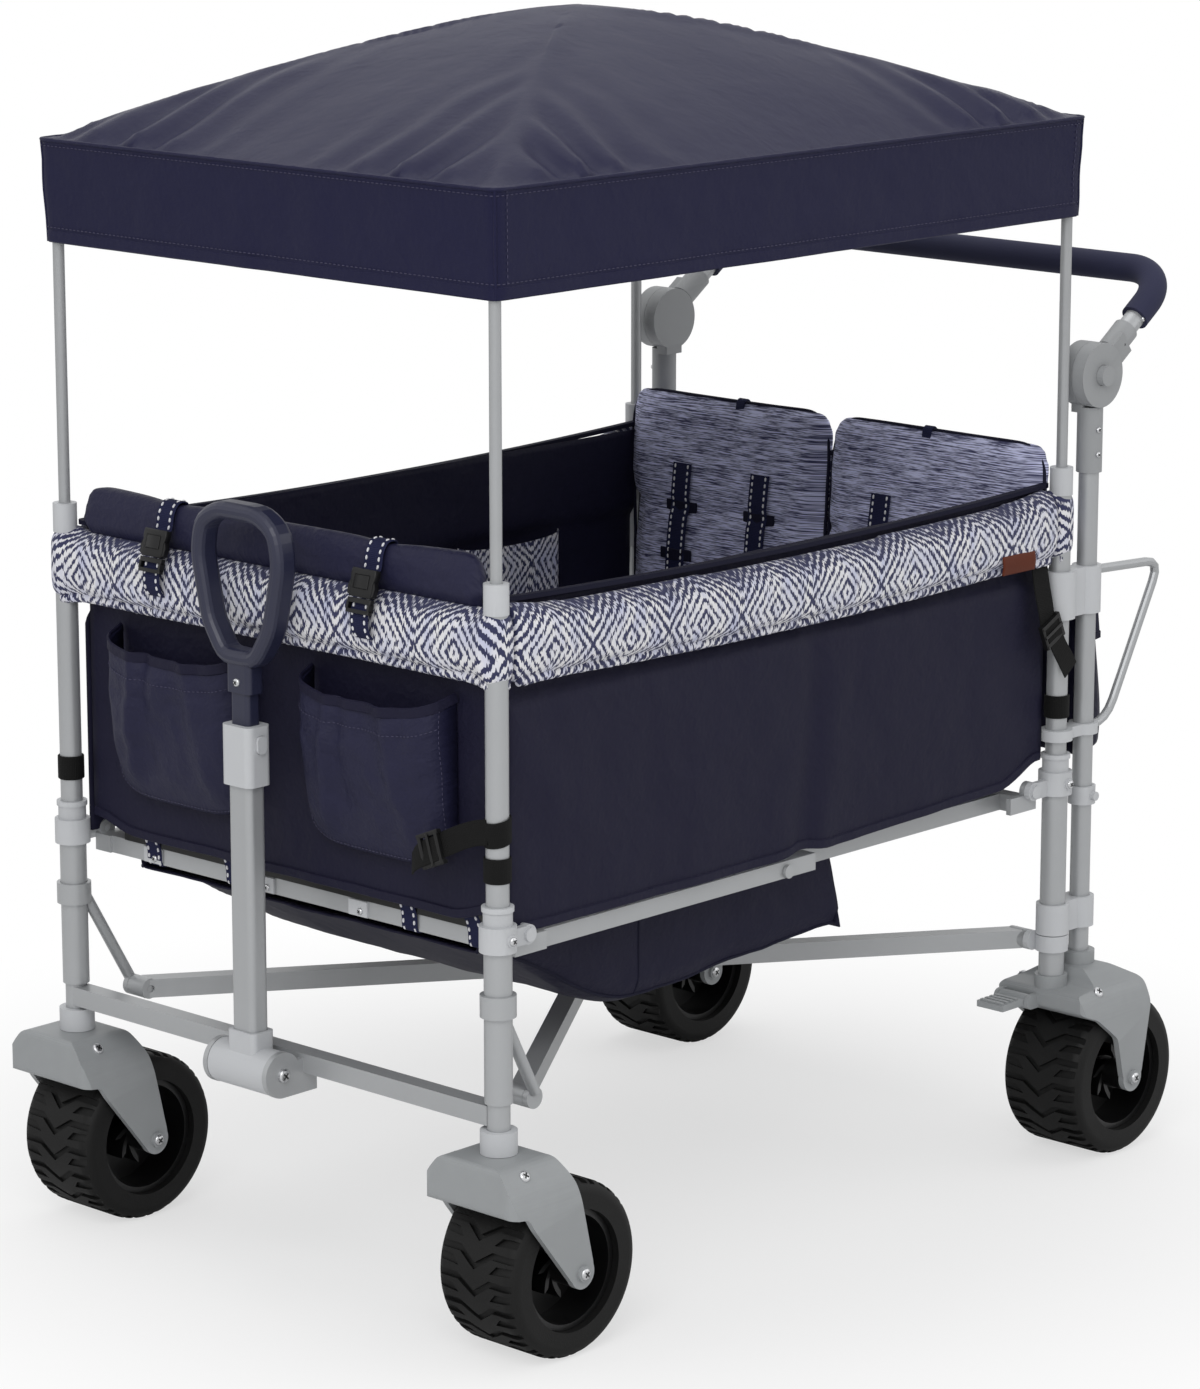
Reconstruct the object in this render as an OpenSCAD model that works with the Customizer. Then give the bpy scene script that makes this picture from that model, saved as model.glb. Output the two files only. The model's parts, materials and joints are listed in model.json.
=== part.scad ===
// Folding stroller wagon, an assembly of named pieces.
// X runs along the wagon (pull handle at -X), Y across it, Z up from the ground.

/* [Overall] */
// Distance between the left and right corner posts
track_w = 620; // [560:5:700]
// Distance between the front and rear corner posts
post_span = 868; // [780:2:960]
// Wheel diameter
wheel_d = 180; // [160:2:200]
// Wheel width
wheel_w = 104; // [80:2:116]

/* [Heights] */
// Height of the floor rails' centre line
floor_z = 411; // [380:1:440]
// Height of the padded rail's top edge
rim_z = 757; // [700:1:800]
// Height of the padded rail itself
rail_h = 89; // [70:1:110]
// Height of the canopy's lower corners
canopy_z = 1150; // [1080:1:1220]
// Rise of the roof's middle above its edge
roof_rise = 126; // [80:1:160]
// Depth of the canopy's valance
valance_h = 106; // [60:1:140]
// Height of the lower cross frame
cross_z = 250; // [235:1:265]
// Height of the push handle's hub above the rim
hub_rise = 113; // [73:1:163]

/* [Tubes] */
// Upper post diameter
post_d = 23; // [20:0.5:26]
// Handle post and push tube diameter
handle_d = 22; // [18:0.5:24]
// Canopy pole diameter
pole_d = 12; // [8:0.5:14]
// Square floor rail width
rail_w = 18; // [16:0.5:22]
// Square cross frame tube width
arm_w = 20; // [16:0.5:22]
// Wall thickness of the tubes
tube_wall = 1.6; // [1:0.1:2.5]
// Rod diameter of the side loops
loop_d = 10; // [6:0.5:12]

/* [Fold linkage] */
// Distance from each post to the floor pivot
clevis_reach = 40; // [36:0.5:48]
// Distance from the front post to the cross frame's elbow
elbow_reach = 64; // [56:0.5:66]
// Drop of the middle pivots below the end pivots
pivot_drop = 15; // [14:0.5:18]
// Height of the floor's end pivots above the rail centre
pivot_rise = 13; // [12:0.5:16]
// Overlap of the floor rails past the middle bolt
rail_lap = 45; // [36:1:54]

/* [Wheels] */
// Trail of the front wheels behind the posts
caster_trail = 53; // [40:1:60]
// Setback of the rear axle behind the corner posts
axle_setback = 70; // [64:1:78]
// Rim radius under the tyre
rim_r = 62; // [54:1:66]
// Axle radius
axle_r = 5; // [4:0.5:7]
// Tread bars round a tyre
tread_n = 20; // [12:1:28]
// Tread depth
tread_d = 4; // [2:0.5:6]
// Fork leg thickness
leg_t = 7; // [5:0.5:9]

/* [Pull handle] */
// Distance of the pull hub in front of the posts
pull_gap = 38; // [36:1:46]
// Pull hub radius
pull_hub_r = 23.5; // [20:0.5:24.5]
// Pull hub length across the wagon
pull_hub_w = 80; // [64:1:96]
// Pull tube width across the wagon
pull_w = 32; // [28:1:36]
// Pull tube depth
pull_t = 24; // [20:1:28]
// Height of the release collar's middle
pull_collar_z = 566; // [520:1:620]
// Height of the release collar
pull_collar_h = 61; // [50:1:70]
// Height of the grip's top
grip_z = 819; // [790:1:850]
// Width of the grip's hand opening at the top
grip_w = 98; // [80:1:110]
// Travel of the telescoping grip
grip_travel = 230; // [150:5:240]

/* [Push handle] */
// Distance of the handle posts behind the corner posts
handle_gap = 48; // [46:1:56]
// Hub radius
hub_r = 35; // [30:0.5:40]
// Hub thickness
hub_t = 32; // [26:1:40]
// Reach of the push bar from its hub
push_len = 168; // [150:1:200]
// Tilt of the push handle at rest
push_tilt = 35; // [20:1:50]
// Bend radius of the push bar
push_bend = 52; // [45:1:70]
// Foam grip diameter
foam_d = 31; // [28:0.5:36]

/* [Fabric] */
// Cloth wall thickness
cloth_t = 3; // [2:0.5:4]
// Distance of the cloth walls inside the post line
wall_in = 16; // [15.5:0.5:20]
// Bulge of the padded rails outside the post line
pad_out = 17; // [15:0.5:24]
// Sag of the padded rails at mid span
rail_sag = 9; // [0:1:16]
// Overhang of the canopy past the posts
eave = 14; // [12:1:24]
// Depth of the hung basket
basket_h = 110; // [60:1:120]
// Height of the front pockets and the rear bag
pocket_h = 166; // [130:1:180]
// Width of a front pocket
pocket_w = 196; // [160:1:208]
// Bulge of a front pocket
pocket_out = 36; // [20:1:38]
// Bulge of the rear bag
bag_out = 74; // [40:1:90]
// Height of the front flap
flap_h = 170; // [140:1:200]
// Filling of the front flap
flap_fill = 24; // [12:1:30]
// Height of the seat backs above the rim
seat_rise = 44; // [20:1:60]
// Filling of the seat backs
seat_fill = 30; // [16:1:36]
// Filling of the seat cushions
cushion_fill = 30; // [16:1:36]

/* [Clearances] */
// Radial gap of the upper posts in their sleeves
sleeve_slip = 0.9; // [0.3:0.1:0.9]
// Gap between pieces fixed together
fit = 0.3; // [0.2:0.05:0.4]
// Radial gap of a running pin
run = 0.1; // [0.05:0.05:0.3]
// Gap between bodies that move past each other
gap = 0.4; // [0.3:0.1:0.8]

/* [Hidden] */
$fn = 48;
half_w = track_w / 2;
x_f = -post_span / 2;
x_r = post_span / 2;
front_reach = post_span / 2 + pull_gap + pull_hub_r;
rear_reach = post_span / 2 + handle_gap + push_len * cos(push_tilt) + foam_d / 2;
tub_x = (front_reach - rear_reach) / 2;
axle_z = wheel_d / 2;
wheel_gap = 3;
well_r = axle_z + 7;
fork_half = wheel_w / 2 + wheel_gap + leg_t;
fork_top = wheel_d + 32;
cup_top = fork_top + 24;
sleeve_d = post_d + 2 * (tube_wall + sleeve_slip);
sleeve_r = sleeve_d / 2;
post_r = post_d / 2;
handle_r = handle_d / 2;
pivot_z = floor_z + pivot_rise;
mid_z = pivot_z - pivot_drop;
cross_mid_z = cross_z - pivot_drop;
heel_reach = 2 * clevis_reach - elbow_reach;
cross_mid_x = (elbow_reach - heel_reach) / 2;
arm_y = half_w - 32;
arm_dx = post_span / 2 - clevis_reach;
arm_ang = atan2(arm_y, arm_dx);
boss_w = 24;
boss_r = arm_w / 2 + 1;
cheek_t = 6.6;
pin_r = 4;
collar_r = sleeve_r + 4.5;
collar_z0 = floor_z + 4;
collar_h = 26;
collar_top = collar_z0 + collar_h;
lug_t = 7;
rail_y = half_w - 18;
plate_t = half_w - lug_t / 2 - gap - rail_y - rail_w / 2;
inner_rail_y = rail_y - rail_w - 2;
board_half = inner_rail_y - rail_w / 2 - 3;
board_t = 8;
board_z = floor_z + rail_w / 2 + fit;
socket_z = rim_z - 12;
socket_h = 30;
pole_top = canopy_z - cloth_t - fit;
wall_z = floor_z + 26;
wall_top = rim_z - 8;
pad_z = rim_z - rail_h;
handle_x = x_r + handle_gap;
hub_z = rim_z + hub_rise;
neck_z = wheel_d + 48;
foot_z = wheel_d + 22;
stem_r = 8;
shoulder_r = 13;
tip_r = 16;
hood_t = 5;
button_r = 11;
hub_pin_z = cross_z - 7;
pull_pin_r = 6;
pedal_in = 8;
pedal_w = 36;
pedal_reach = 30;
pedal_z = foot_z - 18;
pull_x = x_f - pull_gap;
collar_w = pull_w + 10;
collar_d = pull_t + 8;
shaft_w = pull_w - 6;
shaft_t = pull_t - 6;
shaft_gap = 0.6;
tube_top = pull_collar_z - 6;
grip_bar = 9;
grip_mid = 5;
button_z = pull_collar_z + 12;
canopy_a = post_span / 2 + eave;
canopy_b = half_w + eave;
basket_y = board_half - 12;
wall_bulge = 4;
wall_inner = wall_in + cloth_t + wall_bulge + fit;
seat_y = half_w - wall_in - cloth_t - 6;
seat_z = board_z + board_t + cushion_fill + 10;
wall_rise = rim_z - floor_z;
strap_t = 1.6;
strap_w = 25;
navy = [0.17, 0.165, 0.25];
print_c = [0.72, 0.71, 0.72];
steel = [0.63, 0.64, 0.65];
light = [0.75, 0.76, 0.77];
mid_grey = [0.53, 0.54, 0.55];
black = [0.07, 0.07, 0.08];

// Places a child in the wagon frame
module wagon() translate([tub_x, 0, 0]) children();

// Draws a left-hand child and its mirror on the right
module pair() {
    wagon() children();
    wagon() mirror([0, 1, 0]) children();
}

// Round tube standing from z0 to z1
module tube(d, z0, z1) {
    translate([0, 0, z0])
        difference() {
            cylinder(d = d, h = z1 - z0);
            translate([0, 0, -1])
                cylinder(d = d - 2 * tube_wall, h = z1 - z0 + 2);
        }
}

// Round peg along Y from y0 to y1
module peg(r, y0, y1) {
    translate([0, y1, 0])
        rotate([90, 0, 0])
            cylinder(r = r, h = y1 - y0);
}

// Side profile in X and Z, extruded along Y from y0 to y1
module slab(y0, y1) {
    translate([0, y1, 0])
        rotate([90, 0, 0])
            linear_extrude(height = y1 - y0)
                children();
}

// Square tube along X, centred on its section
module box_tube(len, w) {
    translate([0, -w / 2, -w / 2])
        difference() {
            cube([len, w, w]);
            translate([tube_wall, tube_wall, tube_wall])
                cube([len - 2 * tube_wall, w - 2 * tube_wall, w - 2 * tube_wall]);
        }
}

// Rectangle with round corners, centred
module soft_rect(w, h, r) {
    square([w - 2 * r, h], center = true);
    square([w, h - 2 * r], center = true);
    for (sx = [-1, 1], sy = [-1, 1])
        translate([sx * (w / 2 - r), sy * (h / 2 - r)])
            circle(r);
}

// Rod between two points
module rod(a, b, d) {
    v = b - a;
    len = norm(v);
    translate(a)
        rotate([0, acos(v[2] / len), atan2(v[1], v[0])])
            cylinder(d = d, h = len);
}

// Unit vector
function unit(v) = v / norm(v);

// Points of a soft bend at b, r from its corner
function bend(a, b, c, r, k) = let (p = b + r * unit(a - b), q = b + r * unit(c - b))
    [for (i = [0:k]) let (t = i / k) pow(1 - t, 2) * p + 2 * t * (1 - t) * b + t * t * q];

// Open path with soft bends
function bent(points, r, k) = let (last = len(points) - 1)
    concat([points[0]],
        [for (i = [1:last - 1]) each bend(points[i - 1], points[i], points[i + 1], r, k)],
        [points[last]]);

// Closed path with soft bends
function bent_loop(points, r, k) = let (n = len(points))
    [for (i = [0:n - 1]) each bend(points[(i + n - 1) % n], points[i], points[(i + 1) % n], r, k)];

// Round section, stretched by half of mid along its second axis
function section(d, mid, n) = [for (i = [0:n - 1]) let (a = 360 * (i + 0.5) / n)
    [d / 2 * cos(a), d / 2 * sin(a) + (sin(a) > 0 ? mid : -mid)]];

// Section carried along a path that lies across the side direction
module sweep(path, side, shape, closed = false) {
    n = len(path);
    m = len(shape);
    spans = closed ? n : n - 1;
    rings = [for (i = [0:n - 1]) let (
        before = closed ? path[(i + n - 1) % n] : path[max(0, i - 1)],
        after = closed ? path[(i + 1) % n] : path[min(n - 1, i + 1)],
        across = cross(side, unit(after - before)))
        each [for (p = shape) path[i] + p[0] * across + p[1] * side]];
    walls = [for (i = [0:spans - 1], j = [0:m - 1]) let (
        a = i * m, b = (i + 1) % n * m, k = (j + 1) % m)
        each [[a + j, b + k, a + k], [a + j, b + j, b + k]]];
    caps = closed ? [] : [[for (j = [0:m - 1]) j], [for (j = [m - 1:-1:0]) (n - 1) * m + j]];
    polyhedron(rings, concat(walls, caps));
}

// Closed skin between two surfaces; u by v must point from low to high
module skin(nu, nv, high, low) {
    row = nv + 1;
    n = (nu + 1) * row;
    points = concat(
        [for (i = [0:nu], j = [0:nv]) high(i / nu, j / nv)],
        [for (i = [0:nu], j = [0:nv]) low(i / nu, j / nv)]);
    top = [for (i = [0:nu - 1], j = [0:nv - 1]) let (a = i * row + j)
        each [[a, a + row + 1, a + row], [a, a + 1, a + row + 1]]];
    bottom = [for (f = top) [f[0] + n, f[2] + n, f[1] + n]];
    along = [for (i = [0:nu - 1]) let (a = i * row, b = a + nv)
        each [[a, a + row, a + row + n], [a, a + row + n, a + n],
            [b, b + row + n, b + row], [b, b + n, b + row + n]]];
    across = [for (j = [0:nv - 1]) let (b = nu * row + j)
        each [[j, j + n, j + 1 + n], [j, j + 1 + n, j + 1],
            [b, b + 1 + n, b + n], [b, b + 1, b + 1 + n]]];
    polyhedron(points, concat(top, bottom, along, across));
}

// Fullness of a pad: 1 in the middle, falling to 0 at its edge
function crown(u, p) = pow(max(0, 1 - pow(abs(2 * u - 1), p)), 0.5);

// Groove depth factor at evenly spaced seams
function seam(u, n) = 1 - pow(abs(cos(180 * n * u)), 24);

// Sleeve and upper post of one corner
module post_stack(x, sleeve_z0, post_z0) {
    translate([x, -half_w, 0]) {
        tube(sleeve_d, sleeve_z0, collar_z0 + 9);
        tube(post_d, post_z0, socket_z - fit);
    }
}

// Collar with the floor's clevis lug and pin; side is 1 for a lug towards +X
module collar(x, side) {
    pivot_x = x + side * clevis_reach;
    difference() {
        union() {
            translate([x, -half_w, collar_z0]) {
                cylinder(r = collar_r, h = collar_h);
                cylinder(r = sleeve_r + 0.5, h = collar_h + 14);
                translate([0, 0, collar_h + 14])
                    cylinder(r = sleeve_r + 2, h = 5);
            }
            slab(-half_w - lug_t / 2, -half_w + lug_t / 2) {
                translate([pivot_x, pivot_z])
                    circle(10);
                translate([min(x, pivot_x), pivot_z - 9])
                    square([clevis_reach, 18]);
            }
            translate([pivot_x, 0, pivot_z]) {
                peg(pin_r, -half_w, -rail_y - rail_w / 2 - fit);
                peg(7, -half_w - lug_t / 2 - 3, -half_w);
            }
            translate([x, -half_w, collar_z0 + collar_h / 2])
                peg(6, -collar_r - 2, -sleeve_r);
        }
        translate([x, -half_w, collar_z0 - 1])
            cylinder(r = sleeve_r + fit, h = 10 + fit);
        translate([x, -half_w, collar_z0])
            cylinder(r = post_r + fit, h = collar_h + 20);
    }
}

// Plastic bridge between the corner post and the handle post
module bridge(z0, h, bore_r) {
    translate([x_r, -half_w, z0])
        difference() {
            linear_extrude(height = h) {
                circle(sleeve_r + 4);
                translate([handle_gap, 0])
                    circle(handle_r + 5);
                translate([0, -9])
                    square([handle_gap, 18]);
            }
            translate([0, 0, -1])
                cylinder(r = bore_r + fit, h = h + 2);
            translate([handle_gap, 0, -1])
                cylinder(r = handle_r + fit, h = h + 2);
        }
}

// Ring clamp on a sleeve with a cheek and pin for a cross frame arm
module arm_cheek(x, pin_x, ring_z, ring_h) {
    difference() {
        union() {
            translate([x, -half_w, ring_z])
                cylinder(r = sleeve_r + 4, h = ring_h);
            slab(-arm_y - boss_w / 2 - gap - cheek_t, -arm_y - boss_w / 2 - gap)
                children();
            translate([pin_x, 0, cross_z])
                peg(pin_r, -arm_y - boss_w / 2 - gap - cheek_t, -arm_y + boss_w / 2);
        }
        translate([x, -half_w, ring_z - 1])
            cylinder(r = sleeve_r + fit, h = ring_h + 2);
    }
}

module rear_posts() {
    color(steel)
        pair()
            post_stack(x_r, foot_z, foot_z + 4);
}

module handle_posts() {
    color(steel)
        pair()
            translate([handle_x, -half_w, 0])
                tube(handle_d, neck_z - 16, hub_z - hub_r - 10);
}

module rear_brackets() {
    heel_x = x_r - heel_reach;
    color(light)
        pair() {
            collar(x_r, -1);
            bridge(pad_z - 58, 52, post_r);
            bridge(floor_z + 64, 12, post_r);
            bridge(cross_z + 8, 34, sleeve_r);
            translate([handle_x, -half_w, floor_z - 15])
                difference() {
                    union() {
                        cylinder(r = handle_r + 4, h = 20);
                        translate([0, 0, 10])
                            peg(5, -handle_r - 9, 0);
                    }
                    translate([0, 0, -1])
                        cylinder(r = handle_r + fit, h = 22);
                }
            arm_cheek(x_r, heel_x, cross_z - boss_r, boss_r + 7) {
                translate([heel_x, cross_z])
                    circle(boss_r);
                translate([heel_x, cross_z - boss_r])
                    square([heel_reach + 6, boss_r + 7]);
            }
        }
}

// Front profile of a fork, moved in by t
function fork_front(top, crown_half, t) = let (half = fork_half - t, hip = fork_half - 6 - t)
    [[t - crown_half, top - t], [crown_half - t, top - t], [hip, top - 20 - t / 2], [half, top - 44],
        [half, 40], [-half, 40], [-half, top - 44], [-hip, top - 20 - t / 2]];

// Front profile in Y and Z, extruded along X
module fork_width(top, crown_half, t) {
    rotate([90, 0, 90])
        translate([0, 0, -200])
            linear_extrude(height = 400)
                polygon(bent_loop(fork_front(top, crown_half, t), 9, 4));
}

// Fork: side, front and plan profiles cut to one form, hollowed for its wheel
module fork_shell(axle_x, side, top, crown_half, nose) {
    difference() {
        intersection() {
            slab(-fork_half - 4, fork_half + 4) {
                polygon(bent_loop(side, 6, 4));
                translate([axle_x, axle_z])
                    circle(tip_r);
            }
            fork_width(top, crown_half, 0);
            translate([100 - nose, 0, 0])
                linear_extrude(height = top + 10)
                    soft_rect(200, 2 * fork_half + 4, 24);
        }
        translate([axle_x, 0, axle_z])
            peg(well_r, -wheel_w / 2 - wheel_gap, wheel_w / 2 + wheel_gap);
    }
    translate([axle_x, 0, axle_z]) {
        peg(axle_r, -fork_half - 1, fork_half + 1);
        for (s = [-1, 1])
            translate([0, s * (fork_half + 1.5), 0])
                peg(8, -2, 2);
    }
}

// Hollow under a fork's hood, round the stem's boss and between its ribs
module hood_hollow(top, crown_half, nose) {
    difference() {
        intersection() {
            slab(-fork_half, fork_half)
                polygon([[hood_t - nose + 4, top - hood_t], [18, top - hood_t], [18, 120],
                    [hood_t - nose, 120]]);
            fork_width(top, crown_half, hood_t + 2);
        }
        for (y = [-33:22:33])
            translate([-nose, y - 1.3, 100])
                cube([nose + 30, 2.6, top]);
        cylinder(r = stem_r + 8, h = top);
    }
}

module rear_fork() {
    translate([x_r, -half_w, 0])
        difference() {
            union() {
                fork_shell(axle_setback, [[-20, foot_z - 24], [-20, foot_z - 4], [16, foot_z - 2],
                    [26, neck_z - 12], [handle_gap + 18, neck_z - 12], [axle_setback + 25, neck_z - 29],
                    [axle_setback + 31, neck_z - 58], [axle_setback + tip_r, axle_z],
                    [axle_setback - tip_r, axle_z], [axle_setback - 28, axle_z + 50], [6, foot_z - 34]],
                    neck_z - 12, 24, 26);
                translate([0, 0, foot_z - 14])
                    cylinder(r = sleeve_r + 4, h = 24);
                translate([handle_gap, 0, neck_z - 30])
                    cylinder(r = handle_r + 7, h = 32);
                for (y = [pedal_in - 5 - gap, pedal_in + pedal_w + gap])
                    slab(y, y + 5) {
                        translate([-pedal_reach, pedal_z])
                            circle(8);
                        translate([-pedal_reach, pedal_z - 8])
                            square([pedal_reach, 16]);
                    }
                translate([-pedal_reach, 0, pedal_z])
                    peg(pin_r, pedal_in - 5, pedal_in + pedal_w + 5);
            }
            translate([0, 0, foot_z - fit])
                cylinder(r = sleeve_r + fit, h = 30);
            translate([handle_gap, 0, neck_z - 16 - fit])
                cylinder(r = handle_r + fit, h = 40);
        }
}

module rear_forks() {
    color(mid_grey)
        pair()
            rear_fork();
}

module brake_pedal() {
    translate([x_r - pedal_reach, -half_w, pedal_z])
        difference() {
            union() {
                peg(8, pedal_in, pedal_in + pedal_w);
                translate([-44, pedal_in, -3])
                    cube([44, pedal_w, 7]);
                for (i = [0:3])
                    translate([-42 + 8 * i, pedal_in + 3, 3])
                        cube([4, pedal_w - 6, 3]);
            }
            peg(pin_r + run, pedal_in - 1, pedal_in + pedal_w + 1);
        }
}

module brake_pedal_left() {
    color(mid_grey)
        wagon()
            brake_pedal();
}

module brake_pedal_right() {
    color(mid_grey)
        wagon()
            mirror([0, 1, 0])
                brake_pedal();
}

module rear_loops() {
    top = pad_z - 14;
    foot = floor_z + 70;
    start = handle_x + handle_r + 5 + fit;
    path = bent([[start, 0, top], [handle_x + 132, 0, top - 6], [handle_x + 40, 0, foot],
        [start, 0, foot]], 26, 4);
    color(steel)
        pair()
            translate([0, -half_w, 0])
                sweep(path, [0, 1, 0], section(loop_d, 0, 12));
}

module rear_bag() {
    y_half = half_w - handle_r - 5 - gap;
    z0 = wall_z + 6;
    x0 = handle_x - 2;
    color(navy)
        wagon()
            skin(12, 8,
                function (u, v) [x0 + 12 + bag_out * (1 - 0.4 * v) * crown(u, 6) * crown(0.5 * v + 0.14, 5),
                    y_half * (2 * u - 1), z0 + pocket_h * v],
                function (u, v) [x0, y_half * (2 * u - 1), z0 + pocket_h * v]);
}

module hub_sockets() {
    inner = half_w - hub_t / 2;
    color(light)
        pair()
            translate([handle_x, 0, hub_z])
                difference() {
                    union() {
                        peg(hub_r, -half_w + gap / 2, -inner);
                        translate([0, -half_w, -hub_r - 71])
                            cylinder(r = handle_r + 3, h = 71);
                        translate([0, -inner - hub_t / 4, -hub_r - 6])
                            linear_extrude(height = 14)
                                soft_rect(2 * handle_r + 6, hub_t / 2 - gap, 2);
                        peg(6, -half_w - 6, -inner);
                    }
                    translate([0, -half_w, -hub_r - 72])
                        cylinder(r = handle_r + fit, h = 62 + fit);
                    difference() {
                        peg(hub_r + gap, -half_w - hub_t, -half_w + gap / 2);
                        peg(6, -half_w - hub_t, -inner);
                    }
                }
}

module canopy_socket(x) {
    translate([x, -half_w, socket_z])
        difference() {
            union() {
                cylinder(r = post_r + 1, h = socket_h);
                translate([0, 0, -20])
                    cylinder(r = post_r - tube_wall - fit, h = 21);
            }
            translate([0, 0, 10])
                cylinder(r = pole_d / 2 + fit, h = socket_h);
        }
}

module canopy_pole(x) {
    translate([x, -half_w, 0]) {
        translate([0, 0, socket_z + 10 + fit])
            cylinder(d = pole_d, h = pole_top - socket_z - 10 - fit);
        translate([0, 0, pole_top - 26])
            cylinder(r = pole_d / 2 + 2, h = 26);
    }
}

module rear_canopy_sockets() {
    color(light)
        pair()
            canopy_socket(x_r);
}

module rear_canopy_poles() {
    color(mid_grey)
        pair()
            canopy_pole(x_r);
}

// Cloth end wall; side is -1 for the front wall and 1 for the rear wall
module end_wall(side) {
    x0 = side * (post_span / 2 - wall_in);
    y_half = half_w - wall_in;
    scale_v = wall_top - wall_z;
    translate([x0, 0, wall_z])
        skin(10, 6,
            function (u, v) [side * -fit, side * y_half * (2 * u - 1), scale_v * v],
            function (u, v) [side * (-cloth_t - wall_bulge * crown(u, 4) * crown(v, 4)),
                side * y_half * (2 * u - 1), scale_v * v]);
}

module rear_wall() {
    color(navy)
        wagon()
            end_wall(1);
}

module side_walls() {
    x_half = post_span / 2 - wall_in - cloth_t - 8;
    y0 = half_w - wall_in;
    scale_v = wall_top - wall_z;
    rows = 8;
    pad_v = floor(rows * (pad_z - rail_sag - wall_z) / scale_v) / rows;
    bulge = function (u, v) 9 * crown(u, 4) * crown(min(1, v / pad_v), 3);
    color(navy)
        pair()
            translate([0, -y0, wall_z])
                skin(16, rows,
                    function (u, v) [x_half * (2 * u - 1), fit - bulge(u, v), scale_v * v],
                    function (u, v) [x_half * (2 * u - 1), cloth_t - bulge(u, v), scale_v * v]);
}

// Padded rail along local X, bulging towards local -Y, with rounded ends and a sag
module rail_pad(len, sag) {
    inner = -wall_in + 2 * fit;
    out = pad_out - inner;
    skin(20, 8,
        function (u, v) [len * (u - 0.5),
            -inner - out * crown(0.5 + 0.49 * (2 * v - 1), 3) * (0.55 + 0.45 * crown(u, 16)),
            pad_z + rail_h * v - sag * 4 * u * (1 - u)],
        function (u, v) [len * (u - 0.5), -inner, pad_z + rail_h * v - sag * 4 * u * (1 - u)]);
}

// Rail pad across the wagon's end, with holes for the posts; side is -1 for the front
module end_rail_pad(side) {
    difference() {
        translate([side * post_span / 2, 0, 0])
            rotate([0, 0, side * 90])
                rail_pad(track_w + 2 * pad_out - 4, 0);
        for (s = [-1, 1])
            translate([side * post_span / 2, s * half_w, pad_z - 10])
                cylinder(r = post_r + 1 + fit, h = rail_h + 20);
    }
}

module rear_rail_pad() {
    color(print_c)
        wagon()
            end_rail_pad(1);
}

module side_rail_pads() {
    color(print_c)
        pair()
            translate([0, -half_w, 0])
                rail_pad(post_span - 2 * wall_in - 1, rail_sag);
}

// Front face of a seat back, bulging towards -X, with channels of the given depth
function seat_face(u, v, channel) = let (
    full = pow(crown(0.5 + 0.492 * (2 * u - 1), 6) * crown(0.5 + 0.492 * (2 * v - 1), 5), 0.8))
    -8 + (channel * (1 - seam(v, 4)) - seat_fill * (1 - 0.6 * v)) * full;

// Drop of a seat back's top edge round its corners
function corner_drop(u, w, r) = let (d = w / 2 * abs(2 * u - 1) - (w / 2 - r))
    d > 0 ? r - sqrt(max(0, r * r - d * d)) : 0;

module seat_backs() {
    w = seat_y - 3;
    h = rim_z + seat_rise - seat_z;
    corner = 28;
    color(navy)
        pair()
            translate([x_r - wall_inner, -3, seat_z])
                skin(16, 17,
                    function (u, v) [seat_face(u, v, 5), -w * u, v * (h - corner_drop(u, w, corner))],
                    function (u, v) [0, -w * u, v * (h - corner_drop(u, w, corner))]);
}

module harness_straps() {
    w = seat_y - 3;
    h = rim_z + seat_rise - seat_z;
    strap_gap = 2;
    color(black)
        pair()
            translate([x_r - wall_inner, -3, seat_z])
                for (u0 = [0.258, 0.671])
                    skin(2, 12,
                        function (u, v) let (s = u0 + 0.09 * u, t = 0.25 + 0.55 * v)
                            [seat_face(s, t, 0) - strap_gap - strap_t, -w * s, t * h],
                        function (u, v) let (s = u0 + 0.09 * u, t = 0.25 + 0.55 * v)
                            [seat_face(s, t, 0) - strap_gap, -w * s, t * h]);
}

// Height of the roof over a point, as a fraction of its rise
function roof(a, b) = let (p = 4 + 14 * pow(max(abs(a), abs(b)), 3))
    1 - pow(min(1, pow(pow(abs(a), p) + pow(abs(b), p), 1 / p)), 1.5);

// Grid position that folds the last row down into the valance
function eave_pos(i, n) = i < 1 ? -1 : i > n - 1 ? 1 : 2 * (i - 1) / (n - 2) - 1;

// Canopy surface at grid cell i, j, moved in by t
function canopy_point(i, j, n, t) = let (
    a = eave_pos(i, n),
    b = eave_pos(j, n),
    hem = i < 0.5 || j < 0.5 || i > n - 0.5 || j > n - 0.5)
    [a * (canopy_a - t), b * (canopy_b - t),
        hem ? canopy_z - valance_h : canopy_z + roof_rise * roof(a, b) - t];

module canopy_roof() {
    n = 18;
    color(navy)
        wagon()
            skin(n, n,
                function (u, v) canopy_point(round(u * n), round(v * n), n, 0),
                function (u, v) canopy_point(round(u * n), round(v * n), n, cloth_t));
}

module canopy_ribs() {
    steps = 6;
    rib_d = 5;
    color(black)
        wagon()
            for (s = [-1, 1])
                sweep([for (i = [-steps:steps]) let (k = 0.949 * i / steps)
                        [k * canopy_a, s * k * canopy_b,
                            canopy_z + roof_rise * roof(k, k) - cloth_t - rib_d - 11 - 4 * s]],
                    unit([-s * canopy_b, canopy_a, 0]), section(rib_d, 0, 8));
}

// Webbing band round a post with a tail into the cloth wall
module post_strap(x, z0, side) {
    translate([x, -half_w, z0])
        linear_extrude(height = strap_w)
            difference() {
                union() {
                    circle(r = post_r + fit + strap_t);
                    rotate(side > 0 ? 45 : 135)
                        translate([0, -strap_t])
                            square([post_r + 10, 2 * strap_t]);
                }
                circle(r = post_r + fit);
            }
}

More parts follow.
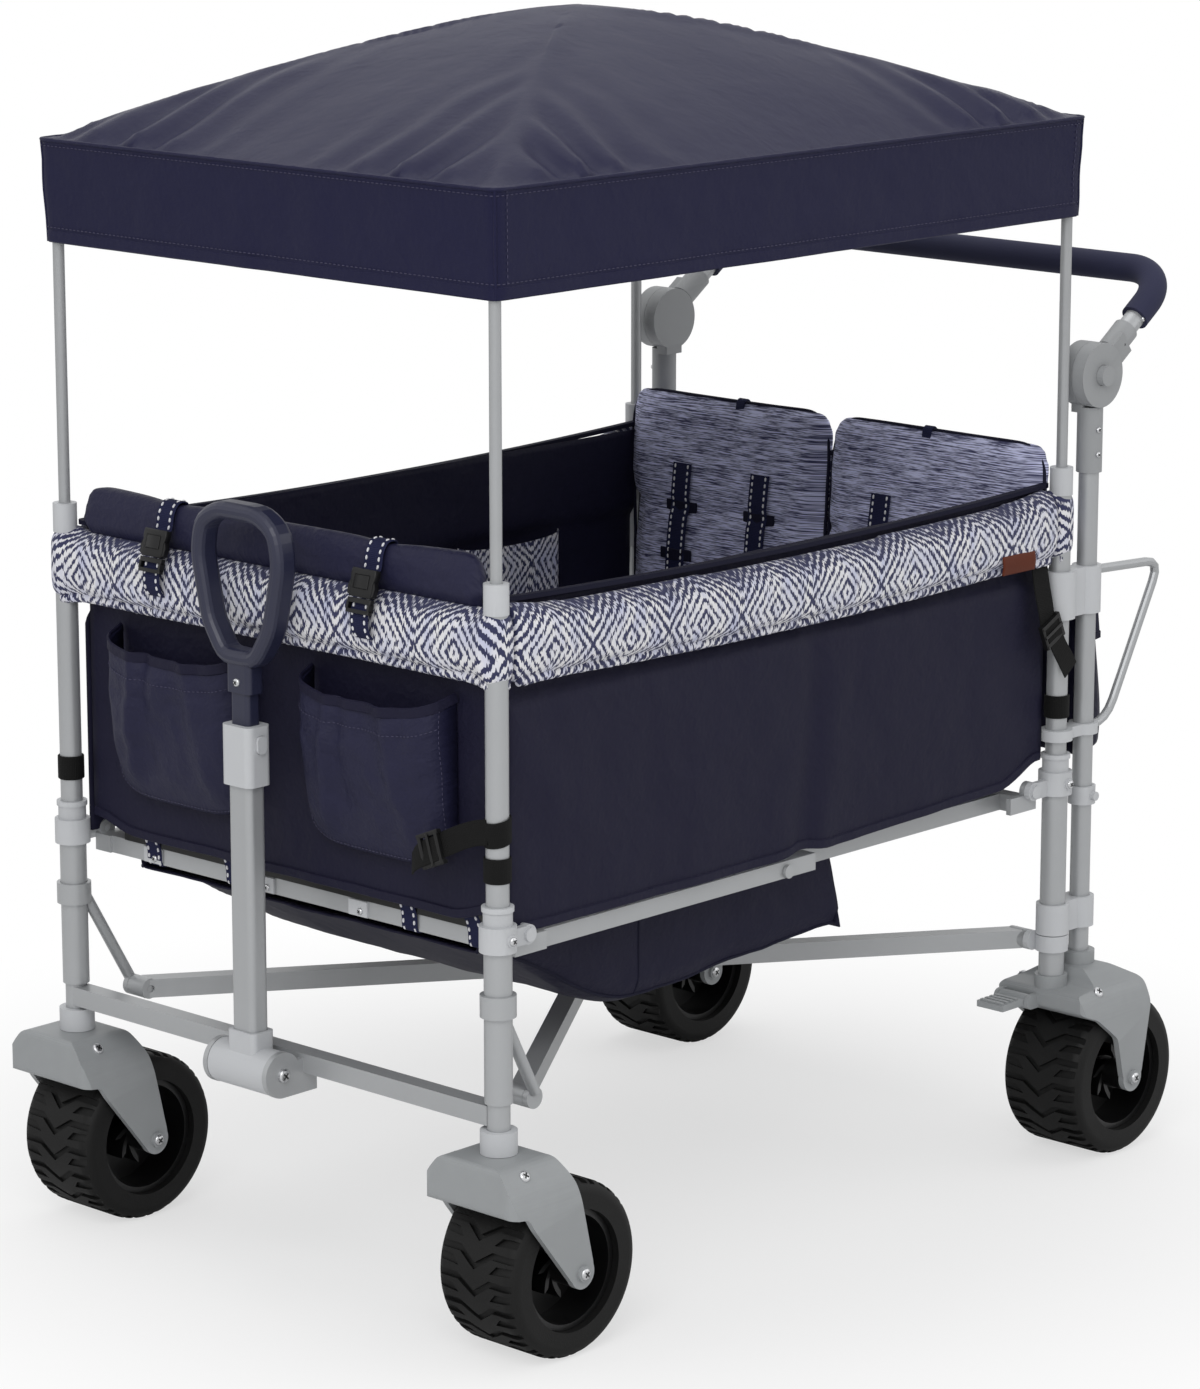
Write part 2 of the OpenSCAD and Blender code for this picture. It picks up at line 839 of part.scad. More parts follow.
module rear_straps() {
    color(black)
        pair() {
            post_strap(x_r, floor_z + 0.37 * wall_rise, -1);
            post_strap(x_r, floor_z + 0.26 * wall_rise, -1);
        }
}

// Front frame

module front_posts() {
    color(steel)
        pair()
            post_stack(x_f, cross_z + arm_w / 2 + 3, fork_top + gap + 6 + fit);
}

module front_fittings() {
    color(light)
        pair() {
            collar(x_f, 1);
            translate([x_f, -half_w, fork_top + gap])
                difference() {
                    cylinder(r = post_r + 7, h = cup_top - fork_top - gap);
                    translate([0, 0, 6])
                        cylinder(r = post_r + fit, h = 40);
                    translate([0, 0, -1])
                        cylinder(r = stem_r + run, h = 40);
                }
        }
}

module front_crossbar() {
    cheek_y = pull_hub_w / 2 + gap;
    color(steel)
        wagon()
            difference() {
                union() {
                    translate([x_f, -half_w, cross_z])
                        rotate([0, 0, 90])
                            box_tube(track_w, arm_w);
                    for (s = [-1, 1])
                        translate([0, s * (cheek_y + 3), 0])
                            slab(-3, 3) {
                                translate([pull_x, hub_pin_z])
                                    circle(pull_hub_r);
                                translate([pull_x, hub_pin_z - pull_hub_r])
                                    square([pull_gap + arm_w / 2 - tube_wall, pull_hub_r + 12]);
                            }
                    translate([pull_x, 0, hub_pin_z])
                        peg(pull_pin_r, -cheek_y - 8, cheek_y + 8);
                }
                for (s = [-1, 1])
                    translate([x_f, s * half_w, cross_z - arm_w])
                        cylinder(r = post_r + fit, h = 2 * arm_w);
            }
}

module front_braces() {
    elbow_x = x_f + elbow_reach;
    ring_z = cross_z + 100;
    color(steel)
        pair()
            difference() {
                union() {
                    arm_cheek(x_f, elbow_x, ring_z, 22)
                        translate([elbow_x, cross_z])
                            circle(boss_r);
                    rod([x_f + 6, -half_w + 8, ring_z + 11],
                        [elbow_x, -arm_y - boss_w / 2 - gap - cheek_t, cross_z + 6], 12);
                }
                translate([x_f, -half_w, ring_z - 20])
                    cylinder(r = sleeve_r + fit, h = 60);
            }
}

module front_canopy_sockets() {
    color(light)
        pair()
            canopy_socket(x_f);
}

module front_canopy_poles() {
    color(mid_grey)
        pair()
            canopy_pole(x_f);
}

module front_wall() {
    color(navy)
        wagon()
            end_wall(-1);
}

module front_rail_pad() {
    color(print_c)
        wagon()
            end_rail_pad(-1);
}

module front_pockets() {
    belly = function (u, v) pocket_out * crown(u, 5) * pow(sin(7 + 112 * v), 0.6);
    foot = function (u, v) 24 * pow(abs(2 * u - 1), 5) * (1 - v);
    color(navy)
        pair()
            translate([x_f + wall_in, -half_w / 2 + 12, wall_z + 46])
                skin(12, 10,
                    function (u, v) [-fit - cloth_t - belly(u, v), pocket_w * (0.5 - u),
                        pocket_h * v + foot(u, v)],
                    function (u, v) [-fit - belly(u, v), pocket_w * (0.5 - u), pocket_h * v + foot(u, v)]);
}

module front_flap() {
    y_half = half_w - wall_in - 8;
    color(navy)
        wagon()
            translate([x_f + wall_inner, 0, rim_z + 40 - flap_h])
                skin(16, 10,
                    function (u, v) [6 + flap_fill * pow(crown(0.5 + 0.49 * (2 * u - 1), 8)
                        * crown(0.5 + 0.49 * (2 * v - 1), 4), 0.7), y_half * (2 * u - 1), flap_h * v],
                    function (u, v) [0, y_half * (2 * u - 1), flap_h * v]);
}

module flap_straps() {
    color(black)
        pair()
            translate([x_f + wall_in - 2 * fit, -half_w / 2, rim_z + 4]) {
                translate([-30, -strap_w / 2, 0])
                    cube([30 + wall_inner - wall_in, strap_w, strap_t]);
                translate([-24, -strap_w / 2 - 4, -2.4])
                    cube([16, strap_w + 8, 7]);
            }
}

module front_straps() {
    color(black)
        pair() {
            post_strap(x_f, floor_z + 0.3 * wall_rise, 1);
            post_strap(x_f, floor_z + 0.194 * wall_rise, 1);
        }
}

// Floor

// Square cross tube of the floor at x, reaching half to each side
module cross_tube(x, half) {
    translate([x, -half, floor_z])
        rotate([0, 0, 90])
            box_tube(2 * half, rail_w);
}

// Pivot plate on the outside of a floor rail
module pivot_plate(pivot_x, x0, len) {
    slab(-rail_y - rail_w / 2 - plate_t, -rail_y - rail_w / 2 + 1)
        difference() {
            union() {
                translate([pivot_x, pivot_z])
                    circle(10);
                translate([x0, floor_z - rail_w / 2])
                    square([len, rail_w]);
            }
            translate([pivot_x, pivot_z])
                circle(pin_r + run);
        }
}

module floor_frame_front() {
    pivot_x = x_f + clevis_reach;
    start = pivot_x - 12;
    color(steel)
        wagon() {
            for (s = [0, 1])
                mirror([0, s, 0])
                    difference() {
                        union() {
                            translate([start, -rail_y, floor_z])
                                box_tube(rail_lap - start, rail_w);
                            pivot_plate(pivot_x, start, 44);
                        }
                        translate([0, 0, mid_z])
                            peg(pin_r + run, -rail_y - rail_w, -rail_y + rail_w);
                        translate([pivot_x, 0, pivot_z])
                            peg(pin_r + run, -rail_y - rail_w, -rail_y);
                    }
            cross_tube(pivot_x, rail_y - rail_w / 2 + 0.5);
            cross_tube(-rail_lap - 26, rail_y - rail_w / 2 + 0.5);
        }
}

module floor_frame_rear() {
    pivot_x = x_r - clevis_reach;
    color(steel)
        wagon() {
            for (s = [0, 1])
                mirror([0, s, 0]) {
                    translate([-rail_lap, -inner_rail_y, floor_z])
                        box_tube(pivot_x - 8 + rail_lap, rail_w);
                    pivot_plate(pivot_x, pivot_x - 32, 44);
                    translate([0, 0, mid_z]) {
                        peg(pin_r, -rail_y - rail_w / 2 - 1, -inner_rail_y);
                        peg(7, -rail_y - rail_w / 2 - 4, -rail_y - rail_w / 2 - gap);
                    }
                }
            cross_tube(pivot_x - 10, rail_y + rail_w / 2 + 0.5);
            cross_tube(rail_lap + 26, inner_rail_y);
        }
}

module floor_board_front() {
    start = x_f + clevis_reach - 12;
    color(black)
        wagon()
            translate([start, -board_half, board_z])
                cube([-start - 1.5, 2 * board_half, board_t]);
}

module floor_board_rear() {
    color(black)
        wagon()
            translate([1.5, -board_half, board_z])
                cube([x_r - clevis_reach - 1.5, 2 * board_half, board_t]);
}

module seat_cushions() {
    w = seat_y - 3;
    x0 = rail_lap + 20;
    len = x_r - 76 - x0;
    color(navy)
        pair()
            translate([x0, -3, board_z + board_t + fit])
                skin(12, 10,
                    function (u, v) [len * u, -w * (1 - v),
                        10 + cushion_fill * pow(crown(0.5 + 0.49 * (2 * u - 1), 6)
                            * crown(0.5 + 0.49 * (2 * v - 1), 6), 0.7)],
                    function (u, v) [len * u, -w * (1 - v), 0]);
}

module hung_basket() {
    top = floor_z - rail_w / 2 - fit;
    nose = x_f + 18 + rail_w;
    tail = -rail_lap + 190;
    color(navy)
        wagon()
            difference() {
                slab(-basket_y, basket_y)
                    polygon([[nose, top], [nose, top - 8], [nose + 240, top - basket_h],
                        [tail - 10, top - basket_h], [tail, top]]);
                slab(-basket_y + cloth_t, basket_y - cloth_t)
                    polygon([[nose + 12, top + 1], [nose + 12, top - 8 + cloth_t],
                        [nose + 241, top - basket_h + cloth_t], [tail - 10 - cloth_t, top - basket_h + cloth_t],
                        [tail - cloth_t, top + 1]]);
            }
}

// Lower cross frame

// Arm from the middle block to an end boss; side is 1 for the rear half
module cross_arm(side) {
    end_x = side * arm_dx;
    start = 46;
    len = norm([arm_dx, arm_y]);
    difference() {
        union() {
            rotate([0, 0, side > 0 ? -arm_ang : arm_ang - 180])
                translate([start, 0, cross_z])
                    box_tube(len - start, arm_w);
            translate([end_x, 0, cross_z])
                peg(boss_r, -arm_y - boss_w / 2, -arm_y + boss_w / 2);
        }
        translate([end_x, 0, cross_z])
            peg(pin_r + run, -arm_y - boss_w, -arm_y + boss_w);
    }
}

// Middle block that joins two arms
module cross_block(side) {
    translate([side > 0 ? 14 : -62, -42, cross_z - arm_w / 2 - 1])
        cube([48, 84, arm_w + 2]);
}

// Hinge lug under the middle block
module cross_lug(side, y0, y1) {
    slab(y0, y1) {
        translate([0, cross_mid_z])
            circle(9);
        translate([side > 0 ? 0 : -40, cross_mid_z - 9])
            square([40, 9]);
        translate([side > 0 ? 14 : -40, cross_mid_z - 9])
            square([26, 18]);
    }
}

module cross_frame_rear() {
    color(steel)
        wagon()
            translate([cross_mid_x, 0, 0]) {
                cross_arm(1);
                mirror([0, 1, 0])
                    cross_arm(1);
                cross_block(1);
                cross_lug(1, -12, 12);
                translate([0, 0, cross_mid_z])
                    peg(pin_r + 1, -28, 28);
            }
}

module cross_frame_front() {
    color(steel)
        wagon()
            translate([cross_mid_x, 0, 0])
                difference() {
                    union() {
                        cross_arm(-1);
                        mirror([0, 1, 0])
                            cross_arm(-1);
                        cross_block(-1);
                        cross_lug(-1, 12 + gap, 26);
                        cross_lug(-1, -26, -12 - gap);
                    }
                    translate([0, 0, cross_mid_z])
                        peg(pin_r + 1 + run, -40, 40);
                }
}

// Pull handle

module pull_fittings() {
    color(light)
        wagon()
            translate([pull_x, 0, 0])
                difference() {
                    union() {
                        translate([0, 0, hub_pin_z])
                            peg(pull_hub_r - 0.5, -pull_hub_w / 2, pull_hub_w / 2);
                        translate([0, 0, hub_pin_z])
                            rotate([0, 0, 90])
                                linear_extrude(height = pull_hub_r + 16)
                                    soft_rect(pull_w + 8, pull_t + 6, 6);
                        translate([0, 0, pull_collar_z - pull_collar_h / 2])
                            rotate([0, 0, 90])
                                linear_extrude(height = pull_collar_h)
                                    soft_rect(collar_w, collar_d, 8);
                    }
                    translate([0, 0, hub_pin_z])
                        peg(pull_pin_r + run, -pull_hub_w, pull_hub_w);
                    translate([0, 0, hub_pin_z + pull_hub_r])
                        rotate([0, 0, 90])
                            linear_extrude(height = tube_top + fit - hub_pin_z - pull_hub_r)
                                soft_rect(pull_w + 2 * fit, pull_t + 2 * fit, 7);
                    translate([0, 0, tube_top - 1])
                        rotate([0, 0, 90])
                            linear_extrude(height = pull_collar_h)
                                soft_rect(shaft_w + shaft_gap, shaft_t + shaft_gap, 5);
                    for (s = [-1, 1])
                        translate([0, s * collar_w / 2, button_z])
                            rotate([90, 0, 0])
                                translate([0, 0, -6.4])
                                    linear_extrude(height = 12.8)
                                        soft_rect(12 + 2 * gap, 18 + 2 * gap, 5 + gap);
                }
}

module pull_tube() {
    z0 = hub_pin_z + pull_hub_r + fit;
    color(steel)
        wagon()
            translate([pull_x, 0, z0])
                rotate([0, 0, 90])
                    linear_extrude(height = tube_top - z0)
                        difference() {
                            soft_rect(pull_w, pull_t, 7);
                            soft_rect(pull_w - 4, pull_t - 4, 5);
                        }
}

module pull_button() {
    translate([pull_x, collar_w / 2 - 3, button_z])
        rotate([-90, 0, 0])
            linear_extrude(height = 6)
                soft_rect(12, 18, 5);
}

module pull_button_left() {
    color(light)
        wagon()
            mirror([0, 1, 0])
                pull_button();
}

module pull_button_right() {
    color(light)
        wagon()
            pull_button();
}

module pull_grip() {
    base = grip_z - 164;
    top = grip_z - grip_bar;
    low = base + grip_bar;
    side = grip_w / 2 + grip_bar;
    half = [[0, 22, low], [0, 44, low + 34], [0, side, top - 46], [0, side - 6, top - 14],
        [0, side - 30, top]];
    loop = bent_loop(concat(half, [for (i = [4:-1:0]) [0, -half[i][1], half[i][2]]]), 12, 3);
    color(navy)
        wagon()
            translate([pull_x, 0, 0]) {
                sweep(loop, [1, 0, 0], section(2 * grip_bar, grip_mid, 16), true);
                translate([0, 0, tube_top - grip_travel - 34])
                    rotate([0, 0, 90])
                        linear_extrude(height = low - tube_top + grip_travel + 34)
                            soft_rect(shaft_w, shaft_t, 5);
                translate([0, 0, base - 26])
                    rotate([0, 0, 90])
                        linear_extrude(height = 34)
                            soft_rect(shaft_w + 8, shaft_t + 4, 6);
            }
}

// Push handle

// Places a child in the push handle's own plane, arms along +X
module push_plane() {
    wagon()
        translate([handle_x, 0, hub_z])
            rotate([0, -push_tilt, 0])
                children();
}

// Round U path of the push handle from arm distance start
module push_path(d, start) {
    bar_half = half_w - push_bend;
    for (s = [0, 1])
        mirror([0, s, 0]) {
            translate([start, -half_w, 0])
                rotate([0, 90, 0])
                    cylinder(d = d, h = push_len - push_bend - start);
            translate([push_len - push_bend, -bar_half, 0])
                rotate([0, 0, -90])
                    rotate_extrude(angle = 90)
                        translate([push_bend, 0])
                            circle(d = d);
        }
    translate([push_len, bar_half, 0])
        rotate([90, 0, 0])
            cylinder(d = d, h = 2 * bar_half);
}

module push_tube() {
    color(steel)
        push_plane()
            difference() {
                push_path(handle_d, hub_r + 12);
                push_path(handle_d - 2 * tube_wall, hub_r + 11);
            }
}

module push_foam() {
    start = push_len - push_bend - 24;
    color(black)
        push_plane()
            difference() {
                push_path(foam_d, start);
                push_path(handle_d + 2 * fit, start - 1);
            }
}

module push_knuckles() {
    outer = half_w + hub_t / 2;
    color(light)
        push_plane()
            for (s = [0, 1])
                mirror([0, s, 0])
                    difference() {
                        union() {
                            peg(hub_r, -outer, -half_w - gap / 2);
                            translate([hub_r + 2, -half_w, 0])
                                rotate([0, 90, 0])
                                    cylinder(r = handle_r + 3, h = 36);
                            translate([0, -outer + 2, -handle_r - 2])
                                cube([hub_r + 20, hub_t / 2 - 2 - gap / 2, 2 * handle_r + 4]);
                        }
                        peg(6 + run, -half_w - hub_t, -half_w + hub_t);
                        peg(button_r + gap, -outer - 1, -outer + 9.5);
                        translate([hub_r + 12 - fit, -half_w, 0])
                            rotate([0, 90, 0])
                                cylinder(r = handle_r + fit, h = 60);
                        peg(hub_r + gap, -half_w - gap / 2, -half_w + hub_t);
                    }
}

module hub_button() {
    outer = half_w + hub_t / 2;
    peg(button_r, -outer - 8, -outer + 5);
}

module hub_button_left() {
    color(mid_grey)
        push_plane()
            hub_button();
}

module hub_button_right() {
    color(mid_grey)
        push_plane()
            mirror([0, 1, 0])
                hub_button();
}

// Wheels

module caster_fork() {
    nose = 49;
    crown_half = 40;
    translate([x_f, -half_w, 0]) {
        difference() {
            fork_shell(caster_trail, [[-42, fork_top], [33, fork_top], [48, fork_top - 29],
                [caster_trail + tip_r, axle_z + 3], [caster_trail - 12, axle_z - 10], [-14, axle_z + 60],
                [-22, axle_z + 73], [-47, axle_z + 76]], fork_top, crown_half, nose);
            hood_hollow(fork_top, crown_half, nose);
        }
        translate([0, 0, fork_top - 4])
            cylinder(r = stem_r, h = 82);
    }
}

module caster_fork_left() {
    color(mid_grey)
        wagon()
            caster_fork();
}

module caster_fork_right() {
    color(mid_grey)
        wagon()
            mirror([0, 1, 0])
                caster_fork();
}

// Tyre about the Y axis with bars cut in a chevron
module tyre() {
    edge = wheel_w / 2 - shoulder_r;
    rotate([90, 0, 0])
        difference() {
            rotate_extrude() {
                translate([rim_r, -wheel_w / 2])
                    square([axle_z - shoulder_r - rim_r, wheel_w]);
                translate([rim_r, -edge])
                    square([axle_z - rim_r, 2 * edge]);
                for (s = [-1, 1])
                    translate([axle_z - shoulder_r, s * edge])
                        circle(shoulder_r);
            }
            for (i = [0:tread_n - 1])
                rotate([0, 0, 360 * i / tread_n])
                    translate([axle_z - tread_d, 0, 0])
                        rotate([0, 90, 0])
                            linear_extrude(height = tread_d + 4)
                                tread_groove();
        }
}

// One chevron groove across the tread, with a notch in each shoulder between two chevrons
module tread_groove() {
    half = wheel_w / 2 + 1;
    mid = wheel_w * 0.2;
    notch = PI * wheel_d / tread_n / 2;
    polygon([[-half, -5], [-mid, -5], [0, 9], [mid, -5], [half, -5], [half, 2], [mid, 2], [0, 16],
        [-mid, 2], [-half, 2]]);
    for (s = [-1, 1])
        translate([0, notch])
            polygon([[s * mid, 2], [s * mid * 1.4, -7], [s * half, -9], [s * half, -1], [s * mid * 1.5, 1]]);
}

// Rim about the Y axis with a web and curved ribs
module rim() {
    barrel = rim_r - gap;
    hub = axle_r + 11;
    rotate([90, 0, 0]) {
        difference() {
            union() {
                difference() {
                    cylinder(r = barrel, h = wheel_w - 16, center = true);
                    cylinder(r = barrel - 6, h = wheel_w, center = true);
                }
                cylinder(r = barrel - 3, h = 8, center = true);
                cylinder(r = hub, h = wheel_w, center = true);
                for (i = [0:7])
                    rotate([0, 0, 45 * i])
                        linear_extrude(height = wheel_w - 40, center = true)
                            intersection() {
                                translate([0, 30])
                                    difference() {
                                        circle(44);
                                        circle(39);
                                    }
                                translate([0, -60])
                                    square([barrel - 3, 60]);
                                circle(barrel - 3);
                            }
            }
            cylinder(r = axle_r + run, h = wheel_w + 2, center = true);
        }
    }
}

// Places a child at a left wheel's axle
module at_caster() {
    translate([x_f + caster_trail, -half_w, axle_z])
        children();
}

module at_rear_wheel() {
    translate([x_r + axle_setback, -half_w, axle_z])
        children();
}

module caster_tyre_left() {
    color(black)
        wagon()
            at_caster()
                tyre();
}

module caster_tyre_right() {
    color(black)
        wagon()
            mirror([0, 1, 0])
                at_caster()
                    tyre();
}

module caster_rim_left() {
    color(black)
        wagon()
            at_caster()
                rim();
}

module caster_rim_right() {
    color(black)
        wagon()
            mirror([0, 1, 0])
                at_caster()
                    rim();
}

module rear_tyre_left() {
    color(black)
        wagon()
            at_rear_wheel()
                tyre();
}

module rear_tyre_right() {
    color(black)
        wagon()
            mirror([0, 1, 0])
                at_rear_wheel()
                    tyre();
}

module rear_rim_left() {
    color(black)
        wagon()
            at_rear_wheel()
                rim();
}

module rear_rim_right() {
    color(black)
        wagon()
            mirror([0, 1, 0])
                at_rear_wheel()
                    rim();
}

rear_posts();
handle_posts();
rear_brackets();
rear_forks();
rear_loops();
rear_bag();
hub_sockets();
rear_canopy_sockets();
rear_canopy_poles();
rear_wall();
side_walls();
rear_rail_pad();
side_rail_pads();
seat_backs();
harness_straps();
canopy_roof();
canopy_ribs();
rear_straps();
front_posts();
front_fittings();
front_crossbar();
front_braces();
front_canopy_sockets();
front_canopy_poles();
front_wall();
front_rail_pad();
front_pockets();
front_flap();
flap_straps();
front_straps();
floor_frame_front();
floor_board_front();
floor_frame_rear();
floor_board_rear();
seat_cushions();
hung_basket();
cross_frame_rear();
cross_frame_front();
pull_fittings();
pull_tube();
pull_grip();
pull_button_left();
pull_button_right();
push_knuckles();
push_tube();
push_foam();
hub_button_left();
hub_button_right();
caster_fork_left();
caster_fork_right();
caster_tyre_left();
caster_tyre_right();
caster_rim_left();
caster_rim_right();
rear_tyre_left();
rear_tyre_right();
rear_rim_left();
rear_rim_right();
brake_pedal_left();
brake_pedal_right();
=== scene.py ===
"""Looks of the folding stroller wagon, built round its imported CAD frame."""

from __future__ import annotations

import json
import logging
import math
from dataclasses import dataclass
from enum import Enum
from typing import Callable, Iterable, Sequence

import bmesh
import bpy
import numpy as np
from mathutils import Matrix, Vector, noise

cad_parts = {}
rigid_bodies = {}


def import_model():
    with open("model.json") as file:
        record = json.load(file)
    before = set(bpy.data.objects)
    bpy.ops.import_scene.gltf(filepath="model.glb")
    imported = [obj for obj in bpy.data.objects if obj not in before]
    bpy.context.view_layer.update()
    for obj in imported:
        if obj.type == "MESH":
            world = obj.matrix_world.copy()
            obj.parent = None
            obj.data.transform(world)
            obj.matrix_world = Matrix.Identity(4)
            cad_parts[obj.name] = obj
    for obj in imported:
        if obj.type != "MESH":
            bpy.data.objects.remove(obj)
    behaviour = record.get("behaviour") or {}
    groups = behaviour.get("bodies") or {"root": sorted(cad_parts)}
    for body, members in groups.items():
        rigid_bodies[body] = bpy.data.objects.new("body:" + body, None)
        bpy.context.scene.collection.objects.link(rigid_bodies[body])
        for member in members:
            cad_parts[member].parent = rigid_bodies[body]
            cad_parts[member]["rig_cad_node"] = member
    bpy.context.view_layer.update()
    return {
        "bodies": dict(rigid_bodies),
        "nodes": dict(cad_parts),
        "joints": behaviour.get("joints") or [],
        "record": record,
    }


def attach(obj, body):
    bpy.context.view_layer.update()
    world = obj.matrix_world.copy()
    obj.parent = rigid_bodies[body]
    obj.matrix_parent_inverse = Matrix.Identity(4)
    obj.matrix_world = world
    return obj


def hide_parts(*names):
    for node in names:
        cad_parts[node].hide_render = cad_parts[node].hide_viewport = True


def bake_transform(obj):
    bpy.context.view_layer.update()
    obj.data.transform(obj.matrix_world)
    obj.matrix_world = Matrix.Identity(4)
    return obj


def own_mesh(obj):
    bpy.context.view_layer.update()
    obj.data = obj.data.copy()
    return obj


LOG = logging.getLogger("wagon")
CLOTH_UV = "cloth"
MM = 0.001
SHIFT = -0.0698088

# Places in the tub's frame, in millimetres.
HALF_W = 310.0
POST_X = 434.0
HANDLE_X = 482.0
PULL_X = -472.0
FLOOR_Z = 411.0
BOARD_TOP = 428.3
PAD_Z = 668.0
RIM_Z = 757.0
WALL_Z = 437.0
WALL_TOP = 749.0
WALL_IN = 16.0
AXLE_Z = 90.0
SEAT_X = POST_X - 23.3
SEAT_FOOT = 468.3
SEAT_TALL = 330.0
SEAT_LEAN = 20.0

# Cloth thicknesses in metres, and stitches as pitch, share of the pitch and thread radius.
THIN_CLOTH = 0.0014
CLOTH = 0.0016
HEAVY_CLOTH = 0.0018
FINE_STITCH = (0.005, 0.6, 0.0005)
HEM_STITCH = (0.006, 0.6, 0.0005)
BOLD_STITCH = (0.0072, 0.62, 0.0012)

ALONG = (1, 0, 0)
ACROSS = (0, 1, 0)
UP = (0, 0, 1)
SIDES = ((-1, "left"), (1, "right"))

Pair = tuple[float, float]
Triple = tuple[float, float, float]
Colour = tuple[float, float, float, float]
Surface = Callable[[float, float], Sequence[float]]
Points = Sequence[Sequence[float]]
Reshape = Callable[[np.ndarray], np.ndarray]
Piece = bpy.types.Object
Node = bpy.types.Node
Socket = bpy.types.NodeSocket
Sockets = bpy.types.bpy_prop_collection
Tree = bpy.types.NodeTree


def tub(x: float, y: float, z: float) -> Vector:
    """Row-frame point in metres of a tub-frame point in millimetres."""
    return Vector((x * MM + SHIFT, y * MM, z * MM))


def seat_rear(z: float) -> float:
    """Where the seat backs' rear faces lie at a height, in the tub frame."""
    return SEAT_X + SEAT_LEAN * max(0.0, (z - SEAT_FOOT) / SEAT_TALL) ** 1.6


def crown(u: float, power: float) -> float:
    """Fullness of a pad: 1 in the middle, falling to 0 at its edge."""
    return math.sqrt(max(0.0, 1.0 - abs(2.0 * u - 1.0) ** power))


def bell(d: float, width: float) -> float:
    """Soft bump of height 1 round d = 0."""
    return math.exp(-((d / width) ** 2))


def pillow(u: float, v: float, across: float, up: float) -> float:
    """Fullness of a filled piece; higher powers make its sides squarer."""
    return (crown(0.5 + 0.49 * (2 * u - 1), across) * crown(0.5 + 0.49 * (2 * v - 1), up)) ** 0.7


def rounded(d: float, r: float) -> float:
    """Drop of a rounded corner, d past the start of its curve."""
    return r - math.sqrt(max(0.0, r * r - d * d)) if d > 0 else 0.0


def wander(x: float, y: float, seed: float = 0.0) -> float:
    """Smooth noise between about -1 and 1 at a point."""
    return noise.noise(Vector((x, y, seed)))


def ease(t: float) -> float:
    """Smooth step of t from 0 to 1."""
    t = min(1.0, max(0.0, t))
    return t * t * (3.0 - 2.0 * t)


def curve_points(knots: Points, per_span: int = 8) -> list[Vector]:
    """Smooth path through knots.

    Args:
        knots: Points that the path passes through.
        per_span: Steps between two knots.

    Returns:
        The points of a Catmull-Rom curve.
    """
    pts = [Vector(k) for k in knots]
    ends = [pts[0] * 2 - pts[1], *pts, pts[-1] * 2 - pts[-2]]
    out = []
    for i in range(1, len(ends) - 2):
        p0, p1, p2, p3 = ends[i - 1 : i + 3]
        for k in range(per_span):
            t = k / per_span
            square, cube = 2 * p0 - 5 * p1 + 4 * p2 - p3, 3 * p1 - p0 - 3 * p2 + p3
            out.append(0.5 * (2 * p1 + (p2 - p0) * t + square * t * t + cube * t**3))
    return [*out, pts[-1]]


def disc(radius: float, n: int = 8) -> list[Pair]:
    """Round section of n corners."""
    turn = 2 * math.pi / n
    return [(radius * math.cos(k * turn), radius * math.sin(k * turn)) for k in range(n)]


def flat_section(width: float, thick: float) -> list[Pair]:
    """Section of a flat strap with softened edges."""
    w, t, edge = width / 2, thick / 2, min(thick / 2, width / 2 * 0.2)
    return [(-w, 0), (-w + edge, -t), (0, -t), (w - edge, -t), (w, 0), (w - edge, t), (0, t), (-w + edge, t)]


WEBBING = flat_section(0.025, HEAVY_CLOTH)


